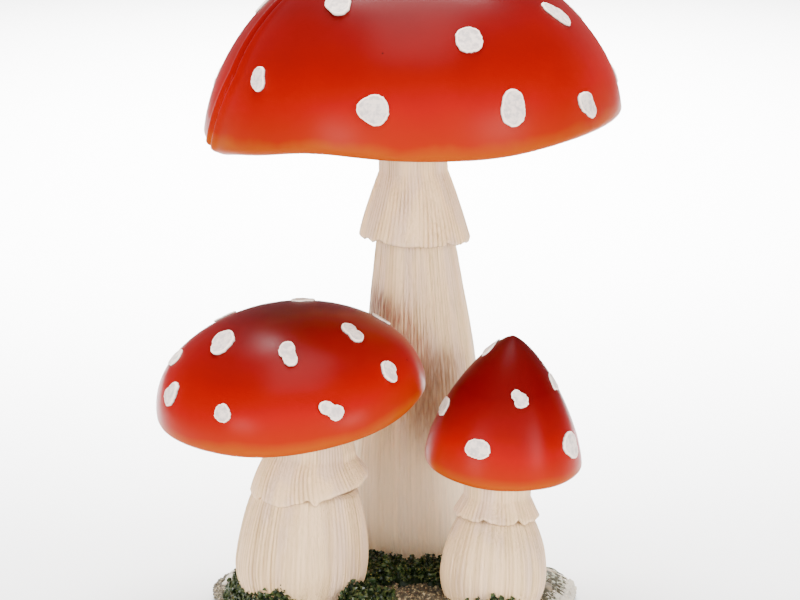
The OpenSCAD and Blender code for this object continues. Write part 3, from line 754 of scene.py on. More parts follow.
def stem_paint():
    """Cream paint with fine ochre lines, lilac streaks, a few specks and smudges by the caps."""
    f = Finish("stem_paint", "stem", specular_ior_level=0.3)
    groove = f.attribute("groove")
    drawn = 0.045
    thin = f.mottle(1.6, seed=1.0, up=drawn)
    hair = f.mottle(0.9, 1, seed=6.0, up=drawn)
    strong = f.mottle(6, 1, seed=4.0, up=0.12).between(0.35, 0.65)
    lines = (thin.line(0.5, 1 / 0.07) * (0.25 + strong * 0.75) * 0.75
             + hair.line(0.5, 1 / 0.09) * 0.35).up_to(1.0)
    f.layer(f.mottle(9, seed=3.0, up=0.2).between(0.45, 0.62) * 0.5, "lilac")
    f.layer(f.mottle(5, seed=2.0, up=drawn).between(0.5, 0.68) * 0.2, (0.62, 0.45, 0.19))
    f.layer((groove * 0.5 + lines * 0.24).up_to(0.85), "wash")
    specks = (1 - f.cells(7).between(0.02, 0.045)) * f.mottle(12, 1, seed=9.0).between(0.58, 0.64)
    f.layer(specks * 0.7, (0.05, 0.03, 0.015))
    # Painted shade under the skirt lips, on the stems and on the undersides of the skirts
    f.layer(f.attribute("crevice") * 0.85, (0.12, 0.055, 0.022))
    x, y, z = (f.part(f.place, i) for i in range(3))
    front = 1 - y.between(20 * MM, 34 * MM)
    # Painted shade and painted red bounce light from the small caps, mixed with red overspray
    for cx, cz, rx, rz, even, depth, shade_and_overspray in STEM_SHADE_AND_OVERSPRAY:
        dx, dz = (x - cx * MM) / (rx * MM), (z - cz * MM) / (rz * MM)
        near = (1 - (dx * dx + dz * dz).math("SQRT").between(0.2, 1.0)) * front
        f.layer(near * (even + (1 - even) * thin.line(0.5, 1 / 0.16)) * depth, shade_and_overspray)
    # Painted light: the lower tall stem, shaded by the small toadstools, is painted paler
    painted_fill_light = (1 - z.between(50 * MM, 90 * MM)) * y.between(-14 * MM, 4 * MM)
    f.layer(painted_fill_light * 0.6, (1.0, 0.84, 0.6))
    f.set("Roughness", 0.4 + groove * 0.25)
    f.bump(1 - lines * 0.8 - f.mottle(0.9) * 0.2, 0.45, 0.8)
    return f.material


def gill_paint():
    f = Finish("gill_paint", "gill", roughness=0.6)
    f.layer(f.mottle(6, 3).between(0.35, 0.7) * 0.6, (0.4, 0.24, 0.09))
    f.bump(f.mottle(0.8), 0.15, 0.5)
    return f.material


def moss_paint(gloss):
    """Dark green with olive and brown patches and pale tips, with a gloss on the leaves."""
    f = Finish("moss_paint", "moss", coat_weight=gloss, coat_roughness=0.12,
               specular_ior_level=0.15)
    fine, tip = f.mottle(1.2, 3, 0.6, 2.0), f.attribute("tip")
    f.layer(f.mottle(7).between(0.35, 0.65), (0.007, 0.016, 0.003))
    f.layer(f.mottle(5, seed=5.0).between(0.58, 0.7) * 0.7, (0.06, 0.042, 0.014))
    f.layer(fine.between(0.62, 0.74) * 0.45, (0.14, 0.14, 0.06))
    # Painted shade: darker towards the roots of the leaves, and dark all over the bed that shows
    # between them
    f.layer(1 - tip.between(0.0, 0.35), (0.004, 0.009, 0.002))
    f.layer(tip.between(0.6, 0.95) * 0.4, (0.11, 0.12, 0.03))
    f.set("Roughness", 0.25 + fine * 0.4)
    f.bump(fine * 0.6 + f.mottle(2.2) * 0.4, 0.7, 0.8)
    return f.material


def soil_paint():
    """Gritty brown soil with straw and dark grains, chalky at the right end."""
    f = Finish("soil_paint", "soil", roughness=0.75)
    pick = f.mottle(1.3, 3, 0.6, 8.0)
    f.layer(f.mottle(9, 3).between(0.35, 0.65), (0.03, 0.024, 0.01))
    f.layer(pick.between(0.52, 0.64) * 0.85, (0.45, 0.36, 0.2))
    f.layer((1 - pick.between(0.34, 0.46)) * 0.85, (0.012, 0.01, 0.005))
    f.layer(f.mottle(16, seed=3.0).between(0.52, 0.66) * 0.6, (0.016, 0.024, 0.008))
    # Painted light: the right end is painted pale where the side lamp washes it out
    right = f.part(f.place, 0).between(60 * MM, 70 * MM)
    f.layer(right * (0.55 + 0.35 * f.mottle(3)), (0.62, 0.56, 0.46))
    f.set("Roughness", 0.45 + pick * 0.4)
    f.bump((1 - f.cells(1.5)) * 0.7 + f.mottle(0.6) * 0.3, 0.8, 0.8)
    return f.material


def grass_paint():
    """Dry grey-green blades with dark ones among them."""
    f = Finish("grass_paint", "grass", roughness=0.5, specular_ior_level=0.4)
    f.layer(f.mottle(2, 1).between(0.38, 0.46), (0.045, 0.04, 0.02))
    return f.material


def pebble_paint():
    """Veined brown stone, at the left end chalky above a dark foot."""
    f = Finish("pebble_paint", "pebble", roughness=0.5, coat_weight=0.15, coat_roughness=0.3)
    f.layer(f.mottle(3, 4, 0.6).between(0.4, 0.7), (0.06, 0.045, 0.028))
    f.layer(f.mottle(11, 1, seed=3.0).between(0.45, 0.6) * 0.5, (0.34, 0.27, 0.18))
    # Painted light: the stones at the left end are painted pale
    left = (-f.part(f.place, 0)).between(60 * MM, 68 * MM)
    f.layer(left * 0.85, (0.6, 0.55, 0.47))
    # Painted shade at the foot of the stones at the left end, where they meet the soil
    foot = 1 - f.part(f.place, 2).between(4.6 * MM, 6.2 * MM)
    f.layer(left * foot * 0.9, (0.07, 0.035, 0.02))
    f.bump(f.mottle(0.8, 3), 0.3, 0.6)
    return f.material


def felt_cloth():
    f = Finish("felt_cloth", "felt", roughness=0.95, sheen_weight=0.4)
    fuzz = f.mottle(0.5, 4, 0.7)
    f.layer(fuzz.between(0.3, 0.7), (0.045, 0.06, 0.04))
    f.bump(fuzz, 0.3, 0.8)
    return f.material


def rod_steel():
    f = Finish("rod_steel", (0.5, 0.51, 0.53), metallic=1.0, roughness=0.32)
    drawn = f.mottle(0.3, 3, up=0.02)
    f.layer(drawn, (0.66, 0.67, 0.68))
    f.set("Roughness", 0.24 + drawn * 0.2)
    f.bump(drawn, 0.03, 0.4)
    return f.material


class Growth(Nodes):
    """A Geometry Nodes tree with named inputs."""

    KINDS = {float: "NodeSocketFloat", int: "NodeSocketInt"}

    def __init__(self, name):
        super().__init__(bpy.data.node_groups.new(name, "GeometryNodeTree"))
        for way in ("OUTPUT", "INPUT"):
            self.tree.interface.new_socket("Geometry", in_out=way,
                                           socket_type="NodeSocketGeometry")
        self.inlet = self.tree.nodes.new("NodeGroupInput")
        self.outlet = self.tree.nodes.new("NodeGroupOutput")
        self.geometry = Socket(self, self.inlet.outputs["Geometry"])
        self.inputs = {}

    def input(self, name, value, kind=None):
        """Adds a named input and returns its socket in the tree."""
        kind = kind or self.KINDS[type(value)]
        item = self.tree.interface.new_socket(name, in_out="INPUT", socket_type=kind)
        self.inputs[item.identifier] = value
        return Socket(self, self.inlet.outputs[name])

    def sizes(self, **values):
        """Adds inputs named after the keywords and returns their sockets."""
        return [self.input(key.replace("_", " ").title(), value) for key, value in values.items()]

    def store(self, geometry, name, value):
        """Keeps a value as an attribute of the points."""
        return self.node("GeometryNodeStoreNamedAttribute",
                         {"data_type": "FLOAT", "domain": "POINT"},
                         {0: geometry, "Name": name, "Value": value})

    def shift(self, geometry, x, y, z):
        """Moves the points to x, y and z."""
        return self.node("GeometryNodeSetPosition", None,
                         {0: geometry, "Position": self.combine(x, y, z)})

    def realized(self, geometry):
        return self.node("GeometryNodeRealizeInstances", None, {0: geometry})

    def grow(self, name, start, geometry, material):
        """Paints the result, runs the tree on a mesh object and returns a plain mesh object."""
        inlet = self.input("Material", material, "NodeSocketMaterial")
        painted = self.node("GeometryNodeSetMaterial", None,
                            {0: self.realized(geometry), "Material": inlet})
        self.tree.links.new(painted.socket, self.outlet.inputs[0])
        modifier = start.modifiers.new("Growth", "NODES")
        modifier.node_group = self.tree
        for identifier, value in self.inputs.items():
            modifier[identifier] = value
        bpy.context.view_layer.update()
        graph = bpy.context.evaluated_depsgraph_get()
        mesh = bpy.data.meshes.new_from_object(start.evaluated_get(graph), depsgraph=graph)
        mesh.name = name
        bpy.data.objects.remove(start)
        return in_scene(name, mesh)


def stem_shaft(m, who, seed, material):
    """A cast stem whose radius follows its sizes, with grooves that run up it."""
    g = Growth("Grooved stem")
    pitch, step, side = base().rib, 1.5 * MM, 0.3 * MM
    foot, bulb, high, shoulder, top, taper, sunk, depth, seed, ribs = g.sizes(
        foot_radius=m.foot_r, bulb_radius=m.bulb_r, bulb_height=m.bulb_z,
        shoulder_radius=m.shoulder_r, shoulder_height=m.shoulder_z, taper=m.taper,
        sunk_depth=3.5 * MM, groove_depth=base().groove, seed=5.0 * seed,
        ribs=round(math.pi * (m.bulb_r + m.shoulder_r) / pitch))
    tube = g.node("GeometryNodeMeshCylinder", None, {
        "Vertices": 2 * round(math.pi * m.bulb_r / side),
        "Side Segments": round(m.shoulder_z / step), "Radius": 1.0, "Depth": 1.0})
    p = g.node("GeometryNodeInputPosition")
    x, y = g.part(p, 0), g.part(p, 1)
    radius = (x * x + y * y).math("SQRT").at_least(1e-6)
    x, y = x / radius, y / radius
    z = (g.part(p, 2) + 0.5) * (top + 4 * MM + sunk) - sunk
    quarter = math.pi / 2
    low = foot + (bulb - foot) * (z / high * quarter).up_to(quarter).math("SINE")
    up = ((z - high) / (top - high)).at_least(0.0).up_to(1.0)
    r = low - (bulb - shoulder) * up ** taper
    for i, (bearing, *sizes) in enumerate(SWELLS[who]):
        level, reach, height = (g.input(f"Swell {i + 1} {title}", size * MM) for title, size in
                                zip(("Level", "Reach", "Height"), sizes))
        facing = (x * cosd(bearing) + y * sind(bearing)).at_least(0.0) ** 3
        off = (z - level) / reach
        r = r + facing * (-(off * off)).math("EXPONENT") * height
    neck = 4 * MM
    r = r - (z - top).between(0.0, 0.5 * MM) * neck

    def field(up, mm, detail, roughness, salt):
        """Noise on the skin of the stem, with lumps of some mm, drawn out where up is small."""
        return g.noise(g.combine(x * ROUND, y * ROUND, z * up), mm * MM, detail, roughness,
                       seed + salt)

    drift = field(0.14, 10, 3, 0.55, 9)
    rib = ((y.math("ARCTAN2", x) * ribs + drift * 17).math("COSINE") * 0.5 + 0.5) ** 3
    keep = field(0.1, 5, 2, 0.5, 11).between(0.38, 0.66)
    cut = field(0.05, 2.2, 2, 0.55, 0).line(0.5, 9)
    slit = field(0.05, 0.9, 2, 0.6, 3).line(0.5, 7)
    rut = field(0.035, 3.4, 1, 0.5, 7).line(0.47, 16)
    broad = field(0.3, 14, 1, 0.5, 5) - 0.5
    fade = z.between(3 * MM, 14 * MM)
    groove = ((rib * (0.2 + 0.8 * keep) * 0.8 + cut * 0.2 + slit * 0.15 + rut * 0.5)
              * (0.4 + 0.6 * fade))
    r = r - groove * depth + broad * (1.6 * MM)
    # Painted shade on the stem, in a band just under the lip of its skirt
    lip = (m.shoulder_z - m.lip_drop + x * (m.lip_r * math.sin(m.lip_tilt))
           + y.up_to(0.0) * m.lip_droop)
    shade_band_under_lip = (z - lip + 2.6 * MM).between(0.0, 1.8 * MM) * 0.7
    marked = g.store(g.shift(tube, x * r, y * r, z), "groove", groove)
    smooth = g.node("GeometryNodeSetShadeSmooth", None, {0: g.store(marked, "crevice", shade_band_under_lip)})
    start = mesh_object("stem_start", [(0, 0, 0)], [])
    made = g.grow(who + "_stem_shaft", start, smooth, material)
    made.data.transform(planted(m))
    return made


def leaf_mesh():
    """A folded, pointed leaf 1 long, as a closed mesh of a few dozen faces, base at the origin."""
    rings = []
    for along, half, rise in ((0.0, 0.12, 0.0), (0.2, 0.34, 0.16), (0.45, 0.44, 0.3),
                              (0.7, 0.36, 0.26), (0.92, 0.16, 0.1)):
        side = rise + half * 0.45
        rings.append(np.array([(along, -half, side), (along, 0, rise - 0.06),
                               (along, half, side), (along, 0, rise + 0.08)]))
    return closed_skin((-0.06, 0, 0), rings, (1.05, 0, 0.12))


def blade_mesh():
    """A thin arched blade 1 long, as a closed mesh, root at the origin."""
    rings = []
    for along in (0.03, 0.2, 0.4, 0.6, 0.8, 0.95):
        half, rise = 0.11 * (1 - along) ** 0.5 + 0.01, 0.07 * math.sin(math.pi * along) ** 0.8
        rings.append(np.array([(along, -half, rise), (along, half, rise), (along, 0, rise + half)]))
    return closed_skin((0, 0, 0), rings, (1, 0, 0.02))


def foliage(name, ground, shape, size, spacing, seed, material, tilt, upright, combed=None):
    """Scatters closed little shapes over a mesh, turned at random or combed outwards."""
    g = Growth("Scatter on surface")
    long, gap, seed = g.sizes(size=size, spacing=spacing, seed=seed)
    kind = g.node("GeometryNodeObjectInfo", None,
                  {"Object": g.input("Shape", shape, "NodeSocketObject")}, "Geometry")
    most_per_m2 = 4e6
    points = g.node("GeometryNodeDistributePointsOnFaces", {"distribute_method": "POISSON"},
                    {"Mesh": g.geometry, "Distance Min": gap, "Seed": seed,
                     "Density Max": most_per_m2}, "Points")
    lie = Socket(g, points.socket.node.outputs["Rotation"])

    def chance(low, high, salt):
        return g.node("FunctionNodeRandomValue", {"data_type": "FLOAT"},
                      {2: low, 3: high, "Seed": seed + salt}, 1)

    if combed is None:
        turn = chance(0.0, 2 * math.pi, 1)
    else:
        place, hub_y = g.node("GeometryNodeInputPosition"), 30 * MM
        flow = g.combine(g.part(place, 0), g.part(place, 1) - hub_y, 0.0)
        lie = g.node("FunctionNodeAlignRotationToVector", {"axis": "X", "pivot_axis": "Z"},
                     {"Rotation": lie, "Vector": flow})
        turn = chance(-combed, combed, 1)
    lean = g.combine(chance(-tilt, tilt, 2) * 0.6, chance(-tilt, tilt * 0.2, 3) - upright, 0.0)
    for spin in (g.combine(0.0, 0.0, turn), lean):
        lie = g.node("FunctionNodeRotateRotation", {"rotation_space": "LOCAL"}, {0: lie, 1: spin})
    grown = long * chance(0.55, 1.25, 4)
    scattered = g.node("GeometryNodeInstanceOnPoints", None, {
        "Points": points, "Instance": kind, "Rotation": lie,
        "Scale": g.combine(grown, grown * chance(0.8, 1.2, 5), grown)})
    return g.grow(name, ground, scattered, material)


def gill_fan(m, who, seed, material):
    """A gill plate: radial blades between the stem and the rim, grown under a disc."""
    s = base()
    inner, inset, low = m.skirt_r + 0.8 * MM, m.wall + 0.5 * MM, s.gill_h - s.hem_h
    share = math.degrees(math.acos(min(1, (low / (m.cap_h - inset)) ** (1 / FORM[who][0])))) / 90
    a = bearings(2 * m.gills)
    rim = cap_skin(m, who, a, share, -inset) * [1, 1, 0] + [0, 0, low]
    bore = around(a, inner, low) - [m.cap_x, m.cap_y, 0]
    plate = [0, 0, s.gill_plate_t]
    disc = mesh_object("gill_disc", *closed_tube([bore, rim, rim + plate, bore + plate]))
    g = Growth("Radial blades")
    root = 0.6 * MM
    blades, depth, hub, end, level, thick = g.sizes(
        count=m.gills, blade_depth=s.gill_h, hub_radius=inner - 0.3 * MM,
        rim_radius=m.cap_r - inset - root, level=low, blade_thickness=0.55 * MM)
    blade = g.node("GeometryNodeMeshCube", None, {"Size": (1.0, 1.0, 1.0), "Vertices X": 9,
                                                  "Vertices Y": 2, "Vertices Z": 2})
    p = g.node("GeometryNodeInputPosition")
    along, across, up = g.part(p, 0) + 0.5, g.part(p, 1), g.part(p, 2) + 0.5
    belly = (along * math.pi).math("SINE").at_least(0.0) ** 0.45
    belly = belly * 0.85 + 0.15 * (1 - along)
    blade = g.shift(blade, hub + (end - hub) * along, across * thick * (0.55 + 0.45 * up),
                    level + root - (1 - up) * (depth * belly + root))
    hub_ring = g.node("GeometryNodeMeshCircle", None, {"Vertices": blades, "Radius": 0.001 * MM})
    index = g.node("GeometryNodeInputIndex")
    fan = g.realized(g.node("GeometryNodeInstanceOnPoints", None, {
        "Points": hub_ring, "Instance": blade,
        "Rotation": g.combine(0.0, 0.0, index * (2 * math.pi) / blades)}))
    both = g.node("GeometryNodeJoinGeometry", None, {0: fan})
    g.tree.links.new(g.geometry.socket, both.socket.node.inputs[0])
    made = g.grow(who + "_gill_fan", disc, both, material)
    points = np.empty(len(made.data.vertices) * 3)
    made.data.vertices.foreach_get("co", points)
    points = points.reshape(-1, 3)
    out = np.hypot(points[:, 0], points[:, 1]) / m.cap_r
    points[:, 2] += rim_rise(m, who, bearing_of(points)) * out ** 5
    made.data.vertices.foreach_set("co", points.ravel())
    made.data.transform(on_rim(m))
    return made


def cap_shell(m, who, seed, material):
    """The shell of a cap, from its inner skin round the hem to the crown."""
    s, (sides, steps), unseen = base(), CAP_MESH[who], 1.1
    a = bearings(sides)
    inner = [(t, -m.wall, 0.0) for t in np.linspace(0.06, 0.985, 16)]
    hem = [(1.0, -m.wall / 2 * (1 - cosd(u)), s.hem_h * sind(u)) for u in range(165, 0, -15)]
    outer = [(t, 0.0, 0.0) for t in 1 - np.linspace(0, 1, steps + 1)[:-1]]
    rings, marks = [], [[unseen]]
    for t, off, drop in inner + hem + outer:
        rings.append(cap_skin(m, who, a, t, off) - [0, 0, drop])
        mark = t + drop / s.hem_h * 0.08 if off > -m.wall else unseen
        marks.append(np.full(sides, mark))
    points, faces = closed_skin(cap_skin(m, who, 0, 0, -m.wall), rings, cap_skin(m, who, 0, 0))
    return mesh_object(who + "_cap_shell", moved(points, on_rim(m)), faces, cap_paint(who),
                       marks={"down": np.concatenate([*marks, [0.0]])})


def cap_spots(m, who, seed, material):
    """The raised spots of a cap: those with radii as cut, the others thinner uneven ovals."""
    pads = []
    for i, (bearing, share, *form) in enumerate(SPOTS[who]):
        h = base().spot_h
        if len(form) == 1:
            outline = cut_outline(form[0], i, 96)
        else:
            w, l, lie = form
            outline, h = round_outline(w * m.spot_w, l * m.spot_w, lie, i, 72), h * 0.6
        place = on_skin(lambda a, t, off: cap_skin(m, who, a, t, off), bearing, share, 1)
        pads.append(pad(place, outline, h, i, CHIP))
    points, faces, edge = joined(pads)
    return mesh_object(who + "_cap_spots", moved(points, on_rim(m)), faces, material,
                       marks={"edge": edge})


def skirt(m, who, seed, material):
    """A flared, ragged skirt: a tube from its bore, round its lip and up its flare to the neck."""
    sides = 2 * round(math.pi * m.lip_r / (0.3 * MM))
    ribs = round(math.pi * (m.skirt_r + m.lip_r) / base().rib)
    a = bearings(sides)
    circle = around(a, ROUND)
    folds, fine, ragged, tatter, nicks = (
        waves(circle, mm * MM, salt + seed) for mm, salt in
        ((2.6, 40), (1.0, 50), (4.5, 60), (1.8, 70), (2.6, 80)))
    notch = np.clip(nicks - 0.75, 0, 1) * 3.0
    drop = (m.lip_drop + m.lip_droop * np.clip(-sind(a), 0, 1)
            + (ragged * 0.7 + tatter * 0.3 - notch) * 0.45 * MM)
    for bearing, spread, height in NICKS[who]:
        drop -= height * MM * swell(a, bearing, spread)
    facing, spread, bulge, shift, end = FLARES[who]
    swollen = bulge * MM * swell(a, facing, spread)
    rings, marks, dark = [], [], []

    def ring(r, z, relief, tilt, crevice=0.0, level=0.0):
        """Adds a ring: its relief in mm, and its level from the lip up the flare."""
        at = circle + [0, 0, 0.3 * np.mean(z)]
        turn = np.radians(a) * ribs + 1.4 * waves(at, 8 * MM, 30 + seed)
        cut = ((0.5 + 0.5 * np.cos(turn)) ** 3
               * np.clip(0.6 + 0.5 * waves(at, 5 * MM, 35 + seed), 0.15, 1))
        r = r + (folds * 0.35 + fine * 0.15 - cut * 1.2) * relief * MM
        r = r + swollen * math.sin(math.pi * min(1, level / end)) ** 0.7
        r = r + shift * MM * cosd(a) * max(0, 1 - level) * (level > 0)
        tilted = np.array(Matrix.Rotation(-m.lip_tilt * tilt, 3, "Y"))
        rings.append(around(a, r, z) @ tilted.T)
        marks.append(np.clip(cut + 0.1 - fine * 0.15, 0, 1) * min(1, relief / 0.3))
        dark.append(np.full(sides, crevice))

    inner, under, lip = m.skirt_r - 3.8 * MM, m.shoulder_r - 1.5 * MM, m.lip_r
    flare_top = m.flare_h - m.lip_drop
    top, hem, at_lip = m.rim_z - m.shoulder_z + 3 * MM, 1.1 * MM, 0.01
    ring(inner, top, 0, 0)
    ring(inner, 0.0, 0, 0)
    # The rings under the lip take painted shade
    ring(under, -0.2 * MM, 0, 0, 1.0)
    ring((under + lip) / 2, 0.4 * MM - drop * 0.75, 0.1, 1, 1.0, at_lip)
    for back, rise, relief, crevice in ((1.5, 0.1, 0.2, 1.0), (0.7, -0.25, 0.3, 0.5),
                                        (0.1, 0.3, 0.4, 0.0)):
        ring(lip - back * MM, rise * MM - drop, relief, 1, crevice, at_lip)
    ring(lip, hem - drop, 0.5, 1, 0.0, at_lip)
    steps = round(m.flare_h / (0.9 * MM))
    for u in np.arange(1, steps + 1) / steps:
        ring(m.skirt_r + (lip - m.skirt_r) * (1 - u) ** 1.05,
             (hem - drop) * (1 - u) + flare_top * u, 0.55 - 0.1 * u, (1 - u) ** 0.8,
             level=at_lip + (1 - at_lip) * u)
    neck = max(2, round((top - flare_top) / (1.5 * MM)))
    for up in (top - flare_top) * np.arange(1, neck + 1) / neck:
        ring(m.skirt_r, flare_top + up, 0.45, 0, level=1 + up / m.flare_h)
    points, faces = closed_tube(rings)
    matrix = planted(m) @ Matrix.Translation((0, 0, m.shoulder_z))
    return mesh_object(who + "_stem_skirt", moved(points, matrix), faces, material,
                       marks={"groove": np.concatenate(marks), "crevice": np.concatenate(dark)})


def each_toadstool(make, slot, node, material=None):
    """Makes a piece for each toadstool, in the place of its CAD node."""
    for seed, who in enumerate(WHO):
        finish_piece(make(toadstool(who), who, seed, material), slot, who + "_" + node)


def mound(material):
    """The gritty mound, and a copy of it without its underside for the grit to grow on."""
    s, sides, steps = base(), 440, 150
    a = bearings(sides)
    rings = [soil_skin(a, UNDERSIDE) * [1, 1, 0] + [0, 0, s.felt_t]]
    for share in np.sin(np.linspace(math.pi / 2, 0, steps + 1)[:-1]):
        ring = soil_skin(a, share)
        ring[:, 2] += sum(waves(ring, mm * MM, seed) * height * MM for mm, seed, height in
                          ((1.9, 3, 0.5), (1.0, 5, 0.35), (5, 4, 0.45)))
        rings.append(ring)
    points, faces = closed_skin((0, 0, s.felt_t), rings, soil_skin(0, 0))
    return (mesh_object("soil_mound", points, faces, material),
            mesh_object("soil_ground", points, faces[sides:]))


def grain_mesh():
    """A grain of soil 1 wide: five corners round, one above and one below."""
    points = np.array([(1, 0, 0.1), (0.3, 0.9, 0), (-0.8, 0.55, 0.1), (-0.75, -0.6, 0),
                       (0.35, -0.85, 0.1), (0.1, 0.05, 0.75), (0, 0, -0.5)]) * 0.5
    faces = [(i, (i + 1) % 5, 5) for i in range(5)] + [((i + 1) % 5, i, 6) for i in range(5)]
    return points, faces


def set_stones(name, places, material):
    """Small stones pressed into the soil, as one mesh."""
    pads = []
    for i, (bearing, share, size) in enumerate(places):
        size *= base().pebble_w
        outline = round_outline(size, size * 0.75, 40 * i, i, 32)
        pads.append(pad(on_skin(soil_skin, bearing, share, 1), outline, size * 0.3, i, STONE))
    points, faces, _ = joined(pads)
    return mesh_object(name, points, faces, material)


def bumps(at, rows):
    """Sum of round bumps at points: place right and back and reach in mm, and height."""
    total = 0.0
    for x, y, reach, height in rows:
        gap = np.hypot(at[:, 0] - x * MM, at[:, 1] - y * MM) / (reach * MM)
        total = total + height * np.exp(-gap ** 2)
    return total


def moss_bed(node, seed, material):
    """The lumpy bed of a clump, and the part of its skin that leaves grow on."""
    bearing, share, w, l, high = CLUMPS[node]
    sides, steps = 220, 44
    b = bearings(sides)
    place = on_skin(soil_skin, bearing, share, MOSS_END)
    w *= 2 * edge_radius(bearing + 90)
    l *= 2 * edge_radius(bearing)
    edge = oval(b, seed + 1) + waves(around(b, ROUND), 3.5 * MM, 90 + seed) * 0.07
    rings, lifts = [], []
    for u in np.arange(steps) / (steps - 1):
        shrunk = (1 - 0.97 * u) * edge
        x, y = w / 2 * cosd(b) * shrunk, l / 2 * sind(b) * shrunk
        at = place(x, y, 0.0)
        ridge = 1 - np.abs(waves(at, 4.2 * MM, 20 + seed)) * 2.2
        lump = 0.66 + 0.42 * ridge + 0.2 * waves(at, 2 * MM, 30 + seed)
        lump = lump - bumps(at, DIPS.get(node, ()))
        lift = base().moss_h * high * lump + bumps(at, HUMPS.get(node, ())) * MM
        lift = np.maximum(lift * min(1, u * 5) ** 0.8, -MOSS_SUNK)
        out = np.hypot(at[:, 0], at[:, 1]) / edge_radius(bearing_of(at))
        lift = lift * np.clip((MOSS_END - out) / 0.04, 0, 1) ** 0.7
        rings.append(place(x, y, lift - MOSS_SUNK * (u == 0)))
        lifts.append(lift)
    points, faces = closed_skin(place(0.0, 0.0, -MOSS_SUNK), rings, rings[-1].mean(0))
    faces = flipped(faces)
    above = np.concatenate([[0], *lifts, [1]]) > 0.9 * MM
    return (mesh_object(node + "_bed", points, faces, material),
            mesh_object(node + "_ground", points, [f for f in faces if above[f].all()]))


def lawn():
    """The stretch of soil at the right end that grass lies on."""
    across, rows = 40, 12
    a, shares = np.linspace(*LAWN[0], across), np.linspace(*LAWN[1], rows)
    starts = [i + j * across for j in range(rows - 1) for i in range(across - 1)]
    return mesh_object("grass_ground", np.vstack([soil_skin(a, t, 0.2 * MM) for t in shares]),
                       [(i, i + across, i + across + 1, i + 1) for i in starts])


# Operators, one for each piece or group of like pieces


class ORNAMENT_OT_caps(Operator):
    """Casts the three caps and airbrushes them"""
    bl_idname = "ornament.caps"
    bl_label = "Caps"

    def execute(self, context):
        each_toadstool(cap_shell, "caps", "cap")
        return {"FINISHED"}


class ORNAMENT_OT_spots(Operator):
    """Sets the raised off-white spots on the caps"""
    bl_idname = "ornament.spots"
    bl_label = "Spots"

    def execute(self, context):
        each_toadstool(cap_spots, "spots", "spots", spot_paint())
        return {"FINISHED"}


class ORNAMENT_OT_stems(Operator):
    """Casts the grooved stems"""
    bl_idname = "ornament.stems"
    bl_label = "Stems"

    def execute(self, context):
        each_toadstool(stem_shaft, "stems", "stem", stem_paint())
        return {"FINISHED"}


class ORNAMENT_OT_skirts(Operator):
    """Casts the flared, ragged skirts"""
    bl_idname = "ornament.skirts"
    bl_label = "Skirts"

    def execute(self, context):
        each_toadstool(skirt, "skirts", "skirt", stem_paint())
        return {"FINISHED"}


class ORNAMENT_OT_gills(Operator):
    """Closes the caps below with gills"""
    bl_idname = "ornament.gills"
    bl_label = "Gills"

    def execute(self, context):
        each_toadstool(gill_fan, "gills", "gills", gill_paint())
        return {"FINISHED"}


class ORNAMENT_OT_soil(Operator):
    """Casts the gritty mound and sets its pebbles and stones"""
    bl_idname = "ornament.soil"
    bl_label = "Soil"

    def execute(self, context):
        brown, stony = soil_paint(), pebble_paint()
        made, ground = mound(brown)
        finish_piece(made, "soil", "base_casting")
        grain = mesh_object("grain_shape", *grain_mesh(), smooth=False)
        grit = foliage("soil_grit", ground, grain, base().grit, GRIT_GAP, 4, brown,
                       tilt=1.2, upright=0.0)
        bpy.data.objects.remove(grain)
        finish_piece(grit, "soil")
        finish_piece(set_stones("soil_pebbles", PEBBLES, stony), "pebbles", "pebbles")
        finish_piece(set_stones("edge_stones", STONES, stony), "pebbles")
        return {"FINISHED"}


class ORNAMENT_OT_moss(Operator):
    """Grows the moss round the feet, in leaves on lumpy beds"""
    bl_idname = "ornament.moss"
    bl_label = "Moss"

    def execute(self, context):
        glossy, dull = moss_paint(0.25), moss_paint(0.0)
        points, faces = leaf_mesh()
        leaf = mesh_object("leaf_shape", points, faces, smooth=False,
                           marks={"tip": np.clip(points[:, 0], 0, 1)})
        for seed, node in enumerate(CLUMPS):
            bed, ground = moss_bed(node, seed, dull)
            leaves = foliage(node + "_leaves", ground, leaf, base().leaf, LEAF_GAP, 7 + seed,
                             glossy, tilt=0.9, upright=0.25)
            finish_piece(bed, "moss", node)
            finish_piece(leaves, "moss")
        bpy.data.objects.remove(leaf)
        return {"FINISHED"}


class ORNAMENT_OT_grass(Operator):
    """Lays short pale blades of grass at the right end of the base"""
    bl_idname = "ornament.grass"
    bl_label = "Grass"

    def execute(self, context):
        blade = mesh_object("blade_shape", *blade_mesh(), smooth=False)
        grass = foliage("grass_right", lawn(), blade, base().blade, GRASS_GAP, 40,
                        grass_paint(), tilt=0.12, upright=0.02, combed=0.5)
        bpy.data.objects.remove(blade)
        finish_piece(grass, "moss")
        return {"FINISHED"}


class ORNAMENT_OT_hidden(Operator):
    """Finishes the felt and the core rods"""
    bl_idname = "ornament.hidden"
    bl_label = "Felt and rods"

    def execute(self, context):
        steel, felt = rod_steel(), felt_cloth()
        for node, material in [("base_felt", felt)] + [(who + "_rod", steel) for who in WHO]:
            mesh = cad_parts[node].data
            mesh.materials.clear()
            mesh.materials.append(material)
        return {"FINISHED"}


def softbox(name, brightness, bearing, elevation, distance, size, spread, face):
    """A rectangular lamp of an even brightness, round the middle of the ornament."""
    lamp = bpy.data.lights.new(name, "AREA")
    lamp.shape, lamp.size, lamp.size_y = "RECTANGLE", *size
    half = math.radians(spread / 2)
    lamp.spread = 2 * half
    focus = 1 - half / math.tan(half) if spread < 180 else 1
    lamp.energy = brightness * math.pi * size[0] * size[1] * focus
    made = in_scene(name, lamp)
    level = cosd(elevation)
    way = Vector((level * cosd(bearing), level * sind(bearing), sind(elevation)))
    made.location = Vector(MIDDLE) + way * distance
    way = Vector(face) if face else -way
    made.rotation_euler = way.to_track_quat("-Z", "Y").to_euler()


